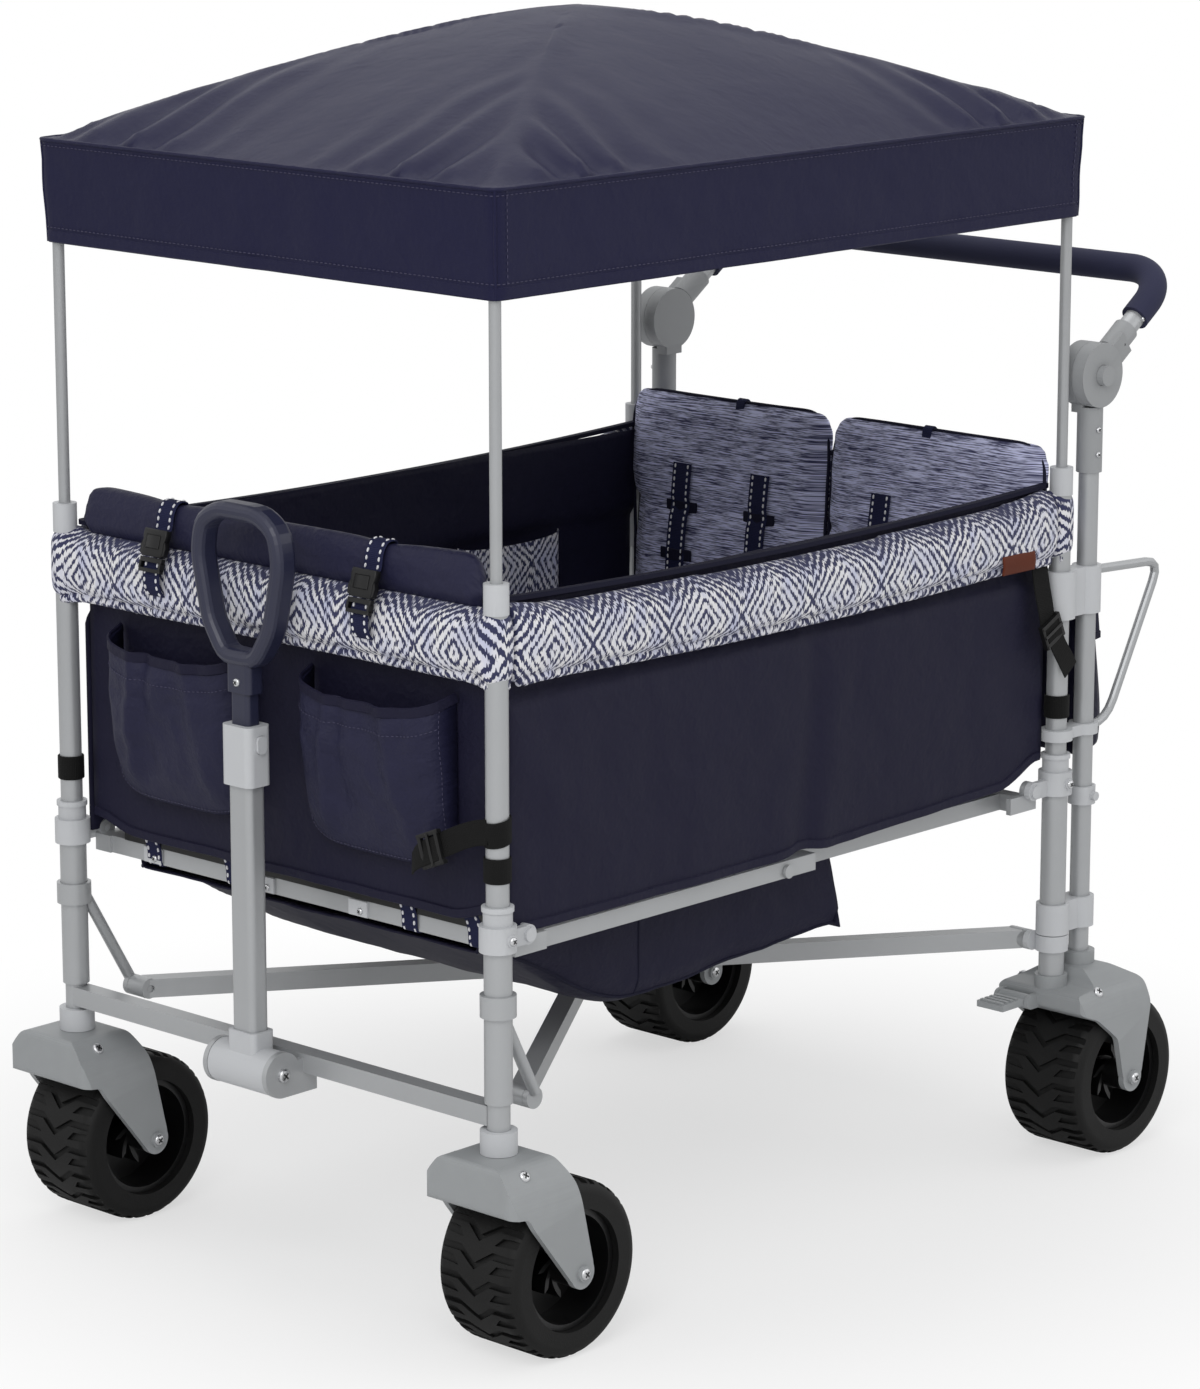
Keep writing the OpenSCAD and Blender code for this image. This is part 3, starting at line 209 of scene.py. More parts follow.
class MeshBuffer:
    """Vertices, faces and cloth coordinates of one piece while it is put together."""

    def __init__(self) -> None:
        """Starts an empty piece."""
        self.verts: list[tuple[float, ...]] = []
        self.faces: list[tuple[int, ...]] = []
        self.coords: list[Pair] = []

    def add(self, verts: Points, faces: Sequence[Sequence[int]], coords: Points | None = None) -> MeshBuffer:
        """Adds vertices and faces, with one cloth coordinate for each face corner.

        Args:
            verts, faces: Points, and the points of each face.
            coords: Cloth coordinates, if there are any.

        Returns:
            This buffer.
        """
        base = len(self.verts)
        self.verts.extend(tuple(v) for v in verts)
        self.faces.extend(tuple(base + i for i in face) for face in faces)
        corners = sum(len(face) for face in faces)
        self.coords.extend([(0.0, 0.0)] * corners if coords is None else [tuple(c) for c in coords])
        return self

    def grid(self, nu: int, nv: int, point: Surface, size: Pair) -> MeshBuffer:
        """Adds a surface of quads.

        Args:
            nu, nv: Cells each way.
            point, size: The surface, and its flat size in metres.

        Returns:
            This buffer.
        """
        row = nv + 1
        verts = [point(i / nu, j / nv) for i in range(nu + 1) for j in range(row)]
        faces, coords = [], []
        for i in range(nu):
            a, b = i * row, (i + 1) * row
            for j in range(nv):
                faces.append((a + j, b + j, b + j + 1, a + j + 1))
                u0, u1 = size[0] * i / nu, size[0] * (i + 1) / nu
                v0, v1 = size[1] * j / nv, size[1] * (j + 1) / nv
                coords += [(u0, v0), (u1, v0), (u1, v1), (u0, v1)]
        return self.add(verts, faces, coords)

    def skin(self, nu: int, nv: int, high: Surface, low: Surface) -> MeshBuffer:
        """Adds a closed skin between two surfaces.

        Args:
            nu, nv: Cells each way.
            high, low: The surfaces.

        Returns:
            This buffer.
        """
        row = nv + 1
        n = (nu + 1) * row
        verts = [f(i / nu, j / nv) for f in (high, low) for i in range(nu + 1) for j in range(row)]
        faces = []
        for i in range(nu):
            for j in range(nv):
                a = i * row + j
                faces.append((a, a + row, a + row + 1, a + 1))
                faces.append((a + n, a + 1 + n, a + row + 1 + n, a + row + n))
        rim = [i * row for i in range(nu)] + [nu * row + j for j in range(nv)]
        rim += [i * row + nv for i in range(nu, 0, -1)] + list(range(nv, 0, -1))
        faces += [(b, a, a + n, b + n) for a, b in zip(rim, rim[1:] + rim[:1])]
        return self.add(verts, faces)

    def sweep(
        self,
        path: Points,
        side: Sequence[float],
        section: Sequence[Pair],
        closed: bool = False,
        swell: Sequence[float] | None = None,
    ) -> MeshBuffer:
        """Adds a section carried along a path.

        Args:
            path: Points of the centre line.
            side: Direction of the section's first axis.
            section: Offsets along the side and the normal.
            closed: Whether the path is a loop.
            swell: Scale of the section at each point.

        Returns:
            This buffer.
        """
        pts = [Vector(p) for p in path]
        n, m = len(pts), len(section)
        verts, along = [], [0.0]
        for i, p in enumerate(pts):
            before = pts[i - 1] if closed or i else p
            after = pts[(i + 1) % n] if closed or i < n - 1 else p
            t = (after - before).normalized()
            s = (Vector(side) - t * Vector(side).dot(t)).normalized()
            k = swell[i] if swell else 1.0
            verts += [p + s * a * k + t.cross(s) * b * k for a, b in section]
            along.append(along[-1] + (pts[(i + 1) % n] - p).length)
        round_it = [0.0]
        for a, b in zip(section, [*section[1:], section[0]]):
            round_it.append(round_it[-1] + math.dist(a, b))
        faces, coords = [], []
        for i in range(n if closed else n - 1):
            a, b = i * m, (i + 1) % n * m
            for j in range(m):
                k = (j + 1) % m
                faces.append((a + j, b + j, b + k, a + k))
                u0, u1, v0, v1 = round_it[j], round_it[j + 1], along[i], along[i + 1]
                coords += [(u0, v0), (u0, v1), (u1, v1), (u1, v0)]
        if not closed:
            faces += [tuple(range(m)), tuple(range((n - 1) * m + m - 1, (n - 1) * m - 1, -1))]
            coords += [(0.0, 0.0)] * (2 * m)
        return self.add(verts, faces, coords)

    def lathe(self, origin: Vector, axis: Sequence[float], profile: Points, n: int) -> None:
        """Adds a turned form about an axis.

        Args:
            origin, axis: Foot and direction of the form.
            profile: Pairs of radius and height.
            n: Points round it.
        """
        z = Vector(axis).normalized()
        x = z.orthogonal().normalized()
        y = z.cross(x)
        row = len(profile)
        verts = []
        for k in range(n):
            out = x * math.cos(2 * math.pi * k / n) + y * math.sin(2 * math.pi * k / n)
            verts += [origin + out * r + z * h for r, h in profile]
        faces = []
        for k in range(n):
            a, b = k * row, (k + 1) % n * row
            faces += [(a + j, b + j, b + j + 1, a + j + 1) for j in range(row - 1)]
        self.add(verts, faces)

    def stitch(self, a: Vector, b: Vector, radius: float) -> None:
        """Adds one thread stitch from a to b."""
        path = [a.lerp(b, t) for t in (0.0, 0.15, 0.5, 0.85, 1.0)]
        self.sweep(path, (b - a).orthogonal(), disc(radius, 6), swell=(0.3, 0.85, 1.0, 0.85, 0.3))

    def stitches(self, path: Points, pitch: float, share: float, radius: float) -> None:
        """Adds a row of stitches along a path.

        Args:
            path: The seam.
            pitch, share: Step, and the share of it that is thread.
            radius: Radius of the thread.
        """
        pts = [Vector(p) for p in path]
        line = [0.0]
        for a, b in zip(pts, pts[1:]):
            line.append(line[-1] + (b - a).length)
        place = np.array([tuple(p) for p in pts])

        def at(d: float) -> Vector:
            """Point at a distance along the path."""
            return Vector([float(np.interp(d, line, place[:, k])) for k in range(3)])

        count = int(line[-1] / pitch)
        for k in range(count):
            start = (k + 0.2) * line[-1] / count
            self.stitch(at(start), at(start + pitch * share), radius)

    def build(self, name: str, sharp: float = 40.0) -> Piece:
        """Makes the object.

        Args:
            name: Name of the piece.
            sharp: Angle in degrees above which an edge stays sharp.

        Returns:
            The new object, in the row frame.
        """
        mesh = bpy.data.meshes.new(name)
        mesh.from_pydata(self.verts, [], self.faces)
        layer = mesh.uv_layers.new(name=CLOTH_UV)
        layer.data.foreach_set("uv", np.array(self.coords, np.float32).ravel())
        form = bmesh.new()
        form.from_mesh(mesh)
        bmesh.ops.remove_doubles(form, verts=form.verts, dist=2e-6)
        bmesh.ops.recalc_face_normals(form, faces=form.faces)
        form.to_mesh(mesh)
        form.free()
        mesh.polygons.foreach_set("use_smooth", [True] * len(mesh.polygons))
        mesh.set_sharp_from_angle(angle=math.radians(sharp))
        obj = bpy.data.objects.new(name, mesh)
        bpy.context.scene.collection.objects.link(obj)
        return obj


def coordinates(mesh: bpy.types.Mesh) -> np.ndarray:
    """Vertex positions of a mesh as an array of rows.

    Args:
        mesh: The mesh.

    Returns:
        The positions.
    """
    flat = np.zeros(len(mesh.vertices) * 3, np.float32)
    mesh.vertices.foreach_get("co", flat)
    return flat.reshape(-1, 3).astype(float)


def place_vertices(mesh: bpy.types.Mesh, rows: np.ndarray) -> None:
    """Moves a mesh's vertices to the rows of an array."""
    mesh.vertices.foreach_set("co", rows.astype(np.float32).ravel())
    mesh.update()


def apply_modifiers(obj: Piece) -> None:
    """Turns an object's modifiers into its mesh.

    Args:
        obj: The object.
    """
    graph = bpy.context.evaluated_depsgraph_get()
    made = bpy.data.meshes.new_from_object(obj.evaluated_get(graph))
    obj.modifiers.clear()
    old = obj.data
    obj.data = made
    bpy.data.meshes.remove(old)
    made.name = obj.name
    made.polygons.foreach_set("use_smooth", [True] * len(made.polygons))


def map_cloth(obj: Piece, to_flat: Reshape) -> None:
    """Writes cloth coordinates from vertex positions.

    Args:
        obj: The piece.
        to_flat: Turns rows of positions into rows of two cloth coordinates in metres.
    """
    mesh = obj.data
    layer = mesh.uv_layers.get(CLOTH_UV) or mesh.uv_layers.new(name=CLOTH_UV)
    corner = np.zeros(len(mesh.loops), np.int32)
    mesh.loops.foreach_get("vertex_index", corner)
    layer.data.foreach_set("uv", to_flat(coordinates(mesh))[corner].astype(np.float32).ravel())


@dataclass(frozen=True)
class Swell:
    """How a padded piece is filled by the cloth simulation."""

    voxel: float = 0.005
    pressure: float = 4.0
    cap: float = 0.007
    frames: int = 20

    def fill(self, obj: Piece, hold: Reshape) -> None:
        """Remeshes a closed piece and swells it, then adds one subdivision.

        Args:
            obj: The closed piece.
            hold: Keeps the swollen positions inside the room that the piece has.
        """
        remesh = obj.modifiers.new("remesh", "REMESH")
        remesh.mode, remesh.voxel_size = "VOXEL", self.voxel
        apply_modifiers(obj)
        rest = coordinates(obj.data)
        rows = self.simulate(obj, rest)
        place_vertices(obj.data, hold(rows))
        soften = obj.modifiers.new("soften", "SMOOTH")
        soften.factor, soften.iterations = 0.5, 3
        obj.modifiers.new("finer", "SUBSURF").levels = 1
        apply_modifiers(obj)

    def simulate(self, obj: Piece, rest: np.ndarray) -> np.ndarray:
        """Runs the cloth under pressure.

        Args:
            obj: The remeshed piece.
            rest: Its positions before.

        Returns:
            The swollen positions, none moved further than the cap.
        """
        scene = bpy.context.scene
        cloth = obj.modifiers.new("cloth", "CLOTH")
        cloth.settings.quality = 4
        cloth.settings.use_pressure = True
        cloth.settings.uniform_pressure_force = self.pressure
        cloth.settings.effector_weights.gravity = 0.0
        cloth.point_cache.frame_start, cloth.point_cache.frame_end = 1, self.frames
        for frame in range(1, self.frames + 1):
            scene.frame_set(frame)
        graph = bpy.context.evaluated_depsgraph_get()
        swollen = coordinates(obj.evaluated_get(graph).data)
        obj.modifiers.remove(cloth)
        scene.frame_set(1)
        move = swollen - rest
        length = np.maximum(np.linalg.norm(move, axis=1), 1e-9)
        return rest + move * (np.minimum(length, self.cap) / length)[:, None]


def stretch(values: np.ndarray, spread: np.ndarray, low: float, high: float) -> np.ndarray:
    """Values moved and scaled so that those of spread just fill low to high."""
    return low + (values - spread.min()) * ((high - low) / np.ptp(spread))


def cast(obj: Piece, start: Vector, towards: Sequence[float]) -> Vector:
    """Point where a ray meets a piece, or the nearest one where it misses."""
    hit, place, _, _ = obj.ray_cast(start, Vector(towards))
    return place if hit else obj.closest_point_on_mesh(start)[1]


def srgb(red: int, green: int, blue: int) -> Colour:
    """Linear colour of an 8-bit display colour.

    Args:
        red, green, blue: Parts from 0 to 255.

    Returns:
        The colour with its alpha.
    """
    shares = (red / 255, green / 255, blue / 255)
    linear = [c / 12.92 if c <= 0.04045 else ((c + 0.055) / 1.055) ** 2.4 for c in shares]
    return (*linear, 1.0)


class Graph:
    """Short ways to place and join the nodes of one tree."""

    def __init__(self, tree: Tree) -> None:
        """Keeps the tree that nodes go into."""
        self.tree = tree

    def node(self, kind: str, **values: object) -> Node:
        """Adds a node and sets its properties.

        Args:
            kind, values: Its type and its properties.

        Returns:
            The node.
        """
        made = self.tree.nodes.new(kind)
        for key, value in values.items():
            setattr(made, key, value)
        return made

    def put(self, socket: Socket, value: object) -> None:
        """Joins a socket to another, or sets its value.

        Args:
            socket: The input.
            value: Socket to join, or a constant.
        """
        if isinstance(value, Socket):
            self.tree.links.new(value, socket)
        else:
            socket.default_value = value

    def feed(self, made: Node, **values: object) -> Node:
        """Joins or sets a node's inputs by name.

        Args:
            made, values: The node and its inputs.

        Returns:
            The node.
        """
        for key, value in values.items():
            self.put(made.inputs[key], value)
        return made

    def math(self, operation: str, *values: object, clamp: bool = False) -> Socket:
        """Result of a Math node.

        Args:
            operation, values: The sum and its inputs.
            clamp: Whether it stays between 0 and 1.

        Returns:
            The result.
        """
        made = self.node("ShaderNodeMath", operation=operation, use_clamp=clamp)
        for socket, value in zip(made.inputs, values):
            self.put(socket, value)
        return made.outputs[0]

    def stray(self, value: Socket, grain: Socket, reach: float) -> Socket:
        """A value pushed either way by noise, by half of reach at most."""
        return self.math("MULTIPLY_ADD", self.math("SUBTRACT", grain, 0.5), reach, value)

    def from_middle(self, value: Socket, repeat: Socket) -> Socket:
        """Distance from the middle of a repeat, as a share of it."""
        share = self.math("FRACT", self.math("DIVIDE", value, repeat))
        return self.math("ABSOLUTE", self.math("SUBTRACT", share, 0.5))

    def scaled(self, vector: Socket, by: Sequence[float]) -> Socket:
        """A vector scaled on each axis.

        Args:
            vector, by: The vector, and its factors.

        Returns:
            The result.
        """
        made = self.node("ShaderNodeVectorMath", operation="MULTIPLY")
        self.put(made.inputs[0], vector)
        made.inputs[1].default_value = by
        return made.outputs[0]

    def parts(self, vector: Socket) -> tuple[Socket, Socket]:
        """First two parts of a vector."""
        made = self.feed(self.node("ShaderNodeSeparateXYZ"), Vector=vector)
        return made.outputs[0], made.outputs[1]

    def noise(self, vector: object, scale: object, detail: float = 2.0, roughness: float = 0.5) -> Socket:
        """Value of a Noise texture, from 0 to 1."""
        made = self.node("ShaderNodeTexNoise")
        return self.feed(made, Vector=vector, Scale=scale, Detail=detail, Roughness=roughness).outputs["Fac"]

    def step(self, value: object, low: float, high: float) -> Socket:
        """Smooth step of a value from low to high."""
        made = self.node("ShaderNodeMapRange", interpolation_type="SMOOTHSTEP")
        return self.feed(made, **{"Value": value, "From Min": low, "From Max": high}).outputs["Result"]

    def mix(self, share: object, first: object, second: object) -> Socket:
        """Mix of two colours.

        Args:
            share: Share of the second colour.
            first, second: The colours.

        Returns:
            The colour.
        """
        made = self.node("ShaderNodeMix", data_type="RGBA")
        for index, value in ((0, share), (6, first), (7, second)):
            self.put(made.inputs[index], value)
        return made.outputs[2]

    def bump(self, height: object, distance: float, strength: float = 1.0, normal: object = None) -> Socket:
        """Normal of a Bump node.

        Args:
            height, distance, strength: The relief, its depth and its share.
            normal: Normal that it adds to.

        Returns:
            The normal.
        """
        made = self.node("ShaderNodeBump")
        self.feed(made, Strength=strength, Distance=distance, Height=height)
        if normal is not None:
            self.put(made.inputs["Normal"], normal)
        return made.outputs["Normal"]

    def cloth_uv(self) -> Socket:
        """Cloth coordinates of the piece, in metres."""
        return self.node("ShaderNodeUVMap", uv_map=CLOTH_UV).outputs[0]

    def place(self) -> Socket:
        """The piece's own coordinates, in metres."""
        return self.node("ShaderNodeTexCoord").outputs["Object"]

    def use(self, effect: Effect, **values: object) -> Node:
        """Places a shared effect with its own values."""
        return self.feed(self.node("ShaderNodeGroup", node_tree=effect.tree()), **values)


class Effect(Enum):
    """Shader effects that more than one finish uses, each a node group."""

    WEAVE = "thread_weave"
    CREASES = "cloth_creases"
    SLUB = "slub_streaks"
    MOTTLE = "surface_mottle"
    EDGE_WEAR = "edge_wear"
    RIBS = "webbing_ribs"
    IKAT = "ikat_lattice"

    def tree(self) -> Tree:
        """The effect's node group, built the first time.

        Returns:
            The node group.
        """
        if self.value not in bpy.data.node_groups:
            getattr(self, f"_{self.name.lower()}")()
        return bpy.data.node_groups[self.value]

    def _start(self, numbers: dict[str, float], outputs: Iterable[str]) -> tuple[Graph, Sockets, Sockets]:
        """Starts a group with a Vector input, number inputs and number outputs.

        Args:
            numbers: Inputs with their first values.
            outputs: Names of the outputs.

        Returns:
            The nodes, the values given and the results to fill.
        """
        tree = bpy.data.node_groups.new(self.value, "ShaderNodeTree")
        tree.interface.new_socket("Vector", in_out="INPUT", socket_type="NodeSocketVector")
        for name, value in numbers.items():
            socket = tree.interface.new_socket(name, in_out="INPUT", socket_type="NodeSocketFloat")
            socket.default_value = value
        for name in outputs:
            tree.interface.new_socket(name, in_out="OUTPUT", socket_type="NodeSocketFloat")
        g = Graph(tree)
        return g, g.node("NodeGroupInput").outputs, g.node("NodeGroupOutput").inputs

    def _weave(self) -> None:
        """Crossing threads of a woven cloth, whose Shade is yarn tone plus painted shade between the threads.
        """
        g, given, result = self._start({"Pitch": 0.001}, ("Height", "Shade"))
        u, v = g.parts(given["Vector"])
        turn = g.math("DIVIDE", 2 * math.pi, given["Pitch"])
        warp, weft = (g.math("SINE", g.math("MULTIPLY", part, turn)) for part in (u, v))
        cross = g.math("MULTIPLY", warp, weft)
        g.put(result["Height"], g.math("MULTIPLY_ADD", cross, 0.5, 0.5))
        along = g.noise(g.scaled(given["Vector"], (40, 900, 1)), 1.0)
        across = g.noise(g.scaled(given["Vector"], (900, 40, 1)), 1.0)
        yarns = g.math("MULTIPLY", g.math("ADD", along, across), 0.5)
        # Shade follows the threads' crossing: painted shade in the dips between threads and painted light on
        # their crowns, over random yarn tone.
        g.put(result["Shade"], g.math("MULTIPLY_ADD", cross, 0.12, yarns))

    def _creases(self) -> None:
        """Soft folds and small creases of loose cloth."""
        g, given, result = self._start({"Scale": 9.0}, ("Height",))
        broad = g.noise(given["Vector"], given["Scale"], 2.0)
        fine = g.noise(given["Vector"], g.math("MULTIPLY", given["Scale"], 3.1), 3.0, 0.6)
        ridge = g.math("ABSOLUTE", g.math("SUBTRACT", fine, 0.5))
        g.put(result["Height"], g.math("MULTIPLY_ADD", ridge, -0.7, broad))

    def _slub(self) -> None:
        """Uneven horizontal yarns of a heathered cloth."""
        g, given, result = self._start({"Yarns": 720.0}, ("Light", "Height"))
        u, v = g.parts(given["Vector"])
        joined = g.node("ShaderNodeCombineXYZ")
        g.put(joined.inputs[0], g.math("MULTIPLY", u, 32.0))
        g.put(joined.inputs[1], g.math("MULTIPLY", v, given["Yarns"]))
        yarn = g.noise(joined.outputs[0], 1.0, 1.0, 0.4)
        fleck = g.noise(g.scaled(joined.outputs[0], (3.7, 1.9, 1)), 1.0, 1.0)
        broad = g.noise(g.scaled(joined.outputs[0], (0.25, 0.1, 1)), 1.0)
        total = g.math("MULTIPLY_ADD", fleck, 0.5, g.math("MULTIPLY_ADD", broad, 0.35, yarn))
        g.put(result["Light"], g.step(total, 0.72, 1.12))
        g.put(result["Height"], yarn)

    def _mottle(self) -> None:
        """Faint cloudiness and fine grain of a moulded or painted surface."""
        g, given, result = self._start({"Grain": 900.0}, ("Shade", "Height"))
        cloud = g.noise(given["Vector"], 14.0, 3.0, 0.6)
        grain = g.noise(given["Vector"], given["Grain"], 1.0)
        g.put(result["Shade"], g.math("MULTIPLY_ADD", grain, 0.35, g.math("MULTIPLY", cloud, 0.65)))
        g.put(result["Height"], grain)

    def _edge_wear(self) -> None:
        """Rubbed edges, from how sharply the surface turns."""
        g, given, result = self._start({"Amount": 1.0}, ("Mask",))
        turn = g.node("ShaderNodeNewGeometry").outputs["Pointiness"]
        patchy = g.math("MULTIPLY_ADD", g.noise(given["Vector"], 60.0), 0.08, turn)
        edge = g.step(patchy, 0.55, 0.66)
        g.put(result["Mask"], g.math("MULTIPLY", edge, given["Amount"], clamp=True))

    def _ribs(self) -> None:
        """Rows of crossing yarns on a narrow webbing."""
        g, given, result = self._start({"Pitch": 0.0018}, ("Height",))
        u, v = g.parts(given["Vector"])
        turn = g.math("DIVIDE", 2 * math.pi, given["Pitch"])
        row = g.math("SINE", g.math("MULTIPLY", v, turn))
        shift = g.math("MULTIPLY", g.math("SINE", g.math("MULTIPLY", u, g.math("MULTIPLY", turn, 0.8))), 0.5)
        g.put(result["Height"], g.math("MULTIPLY_ADD", g.math("ADD", row, shift), 0.33, 0.5))

    def _ikat(self) -> None:
        """Nested lozenges with feathered edges, as warp-dyed cloth has."""
        g, given, result = self._start({"Width": 0.108, "Depth": 0.128}, ("Ink", "Wash"))
        vector = given["Vector"]
        u, v = g.parts(vector)
        feather = g.noise(g.scaled(vector, (520, 14, 1)), 1.0, 2.0)
        drift = g.noise(g.scaled(vector, (60, 30, 1)), 1.0, 2.0)
        moved = g.stray(g.stray(v, feather, 0.019), drift, 0.006)
        across = g.from_middle(u, given["Width"])
        down = g.from_middle(moved, given["Depth"])
        ring = g.math("MULTIPLY", g.math("ADD", across, down), 2.0)
        bands = g.math("COSINE", g.math("MULTIPLY", ring, 2 * math.pi * 5.0))
        thread = g.noise(g.scaled(vector, (300, 60, 1)), 1.0, 2.0)
        level = g.stray(bands, thread, 1.9)
        pale = g.math("MULTIPLY", g.step(ring, 0.95, 0.5), g.step(ring, 0.24, 0.34))
        edge = g.step(down, 0.14, 0.42)
        level = g.math("MULTIPLY_ADD", pale, -0.42, g.math("MULTIPLY_ADD", edge, 0.7, level))
        lines = g.step(level, -0.08, 0.16)
        tips = g.step(g.stray(down, feather, 0.5), 0.27, 0.42)
        gap = g.step(across, 0.2, 0.44)
        heavy = g.math("MULTIPLY", g.math("MULTIPLY", tips, gap), g.step(thread, 0.36, 0.5))
        g.put(result["Ink"], g.math("MAXIMUM", lines, heavy))
        g.put(result["Wash"], g.step(g.noise(g.scaled(vector, (70, 24, 1)), 1.0, 3.0), 0.35, 0.75))


@dataclass(frozen=True)
class Finish:
    """A plain finish; the other finishes add their own surface to it."""

    name: str
    slot: str | None
    colour: tuple[int, int, int]
    roughness: float = 0.6
    metallic: float = 0.0

    def material(self) -> bpy.types.Material:
        """The finish's material, built the first time.

        Returns:
            The material.
        """
        found = bpy.data.materials.get(f"look_{self.name}")
        if found:
            return found
        made = bpy.data.materials.new(f"look_{self.name}")
        made.use_nodes = True
        bsdf = made.node_tree.nodes["Principled BSDF"]
        bsdf.inputs["Base Color"].default_value = srgb(*self.colour)
        bsdf.inputs["Roughness"].default_value = self.roughness
        bsdf.inputs["Metallic"].default_value = self.metallic
        self.dress(Graph(made.node_tree), bsdf)
        return made

    def dress(self, g: Graph, bsdf: Node) -> None:
        """Adds the finish's own nodes."""

    def shade(self, factor: float) -> Colour:
        """The finish's colour made lighter or darker."""
        red, green, blue, _ = srgb(*self.colour)
        return (red * factor, green * factor, blue * factor, 1.0)

    def put_on(self, *pieces: Piece) -> None:
        """Gives pieces this finish.

        Args:
            pieces: The pieces.
        """
        for piece in pieces:
            piece.data.materials.clear()
            piece.data.materials.append(self.material())
            self.slot and "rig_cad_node" not in piece


@dataclass(frozen=True)
class ClothFinish(Finish):
    """Woven cloth with creases."""

    pitch: float = 0.0011
    crease_scale: float = 9.0
    crease_depth: float = 0.004
    gloss: float = 0.14

    def dress(self, g: Graph, bsdf: Node) -> None:
        """Adds weave, with painted shade between its threads, and creases.

        Args:
            g, bsdf: Its nodes and its surface.
        """
        uv = g.cloth_uv()
        weave = g.use(Effect.WEAVE, Vector=uv, Pitch=self.pitch)
        crease = g.use(Effect.CREASES, Vector=uv, Scale=self.crease_scale)
        g.put(bsdf.inputs["Base Color"], g.mix(weave.outputs["Shade"], self.shade(0.8), self.shade(1.2)))
        soft = g.bump(crease.outputs["Height"], self.crease_depth, 0.6)
        g.put(bsdf.inputs["Normal"], g.bump(weave.outputs["Height"], 0.0002, 0.5, soft))
        bsdf.inputs["Specular IOR Level"].default_value = self.gloss


@dataclass(frozen=True)
class PrintFinish(Finish):
    """Cloth printed with an ikat lattice."""

    wash: tuple[int, int, int] = (196, 199, 222)
    ink: tuple[int, int, int] = (24, 26, 56)

    def dress(self, g: Graph, bsdf: Node) -> None:
        """Adds the print and the weave, with painted shade between the weave's threads.

        Args:
            g, bsdf: Its nodes and its surface.
        """
        uv = g.cloth_uv()
        lattice = g.use(Effect.IKAT, Vector=uv)
        weave = g.use(Effect.WEAVE, Vector=uv, Pitch=0.0012)
        ground = g.mix(lattice.outputs["Wash"], srgb(*self.colour), srgb(*self.wash))
        dye = g.mix(weave.outputs["Shade"], srgb(*self.ink), srgb(48, 52, 96))
        g.put(bsdf.inputs["Base Color"], g.mix(lattice.outputs["Ink"], ground, dye))
        crease = g.use(Effect.CREASES, Vector=uv, Scale=22.0)
        soft = g.bump(crease.outputs["Height"], 0.002, 0.5)
        g.put(bsdf.inputs["Normal"], g.bump(weave.outputs["Height"], 0.0002, 0.5, soft))
        bsdf.inputs["Sheen Weight"].default_value = 0.1


@dataclass(frozen=True)
class SlubFinish(Finish):
    """Heathered cloth of uneven yarns."""

    light: tuple[int, int, int] = (214, 217, 250)

    def dress(self, g: Graph, bsdf: Node) -> None:
        """Adds the yarns.

        Args:
            g, bsdf: Its nodes and its surface.
        """
        uv = g.cloth_uv()
        slub = g.use(Effect.SLUB, Vector=uv)
        g.put(bsdf.inputs["Base Color"], g.mix(slub.outputs["Light"], srgb(*self.colour), srgb(*self.light)))
        crease = g.use(Effect.CREASES, Vector=uv, Scale=11.0)
        soft = g.bump(crease.outputs["Height"], 0.002, 0.4)
        g.put(bsdf.inputs["Normal"], g.bump(slub.outputs["Height"], 0.0004, 0.6, soft))
        bsdf.inputs["Sheen Weight"].default_value = 0.15


@dataclass(frozen=True)
class WebbingFinish(Finish):
    """Woven strap."""

    def dress(self, g: Graph, bsdf: Node) -> None:
        """Adds the webbing's ribs, with painted shade in their grooves and painted light on their crests.

        Args:
            g, bsdf: Its nodes and its surface.
        """
        ribs = g.use(Effect.RIBS, Vector=g.cloth_uv())
        # Colour follows the ribs' height: painted shade in the grooves, painted light on the crests.
        g.put(bsdf.inputs["Base Color"], g.mix(ribs.outputs["Height"], self.shade(0.65), self.shade(1.3)))
        g.put(bsdf.inputs["Normal"], g.bump(ribs.outputs["Height"], 0.0004, 0.8))
        bsdf.inputs["Specular IOR Level"].default_value = 0.2


@dataclass(frozen=True)
class HardFinish(Finish):
    """Moulded plastic, painted tube or rubber."""

    grain: float = 900.0
    grain_depth: float = 0.0001
    wear: float = 0.3
    spread: float = 0.12
    gloss: float = 0.5

    def dress(self, g: Graph, bsdf: Node) -> None:
        """Adds grain, cloudiness and rubbed edges.

        Args:
            g, bsdf: Its nodes and its surface.
        """
        place = g.place()
        mottle = g.use(Effect.MOTTLE, Vector=place, Grain=self.grain)
        worn = g.use(Effect.EDGE_WEAR, Vector=place, Amount=self.wear)
        body = g.mix(mottle.outputs["Shade"], self.shade(1 - self.spread), self.shade(1 + self.spread))
        g.put(bsdf.inputs["Base Color"], g.mix(worn.outputs["Mask"], body, self.shade(1.35)))
        rough = g.math("MULTIPLY_ADD", mottle.outputs["Shade"], 0.2, self.roughness - 0.1)
        g.put(bsdf.inputs["Roughness"], rough)
        g.put(bsdf.inputs["Normal"], g.bump(mottle.outputs["Height"], self.grain_depth, 0.4))
        bsdf.inputs["Specular IOR Level"].default_value = self.gloss


NAVY = ClothFinish("navy_cloth", "navy_cloth", (28, 27, 47), 0.55, crease_depth=0.008)
ROOF = ClothFinish("roof_cloth", "roof_cloth", (30, 30, 58), 0.4, crease_depth=0.004, gloss=0.12)
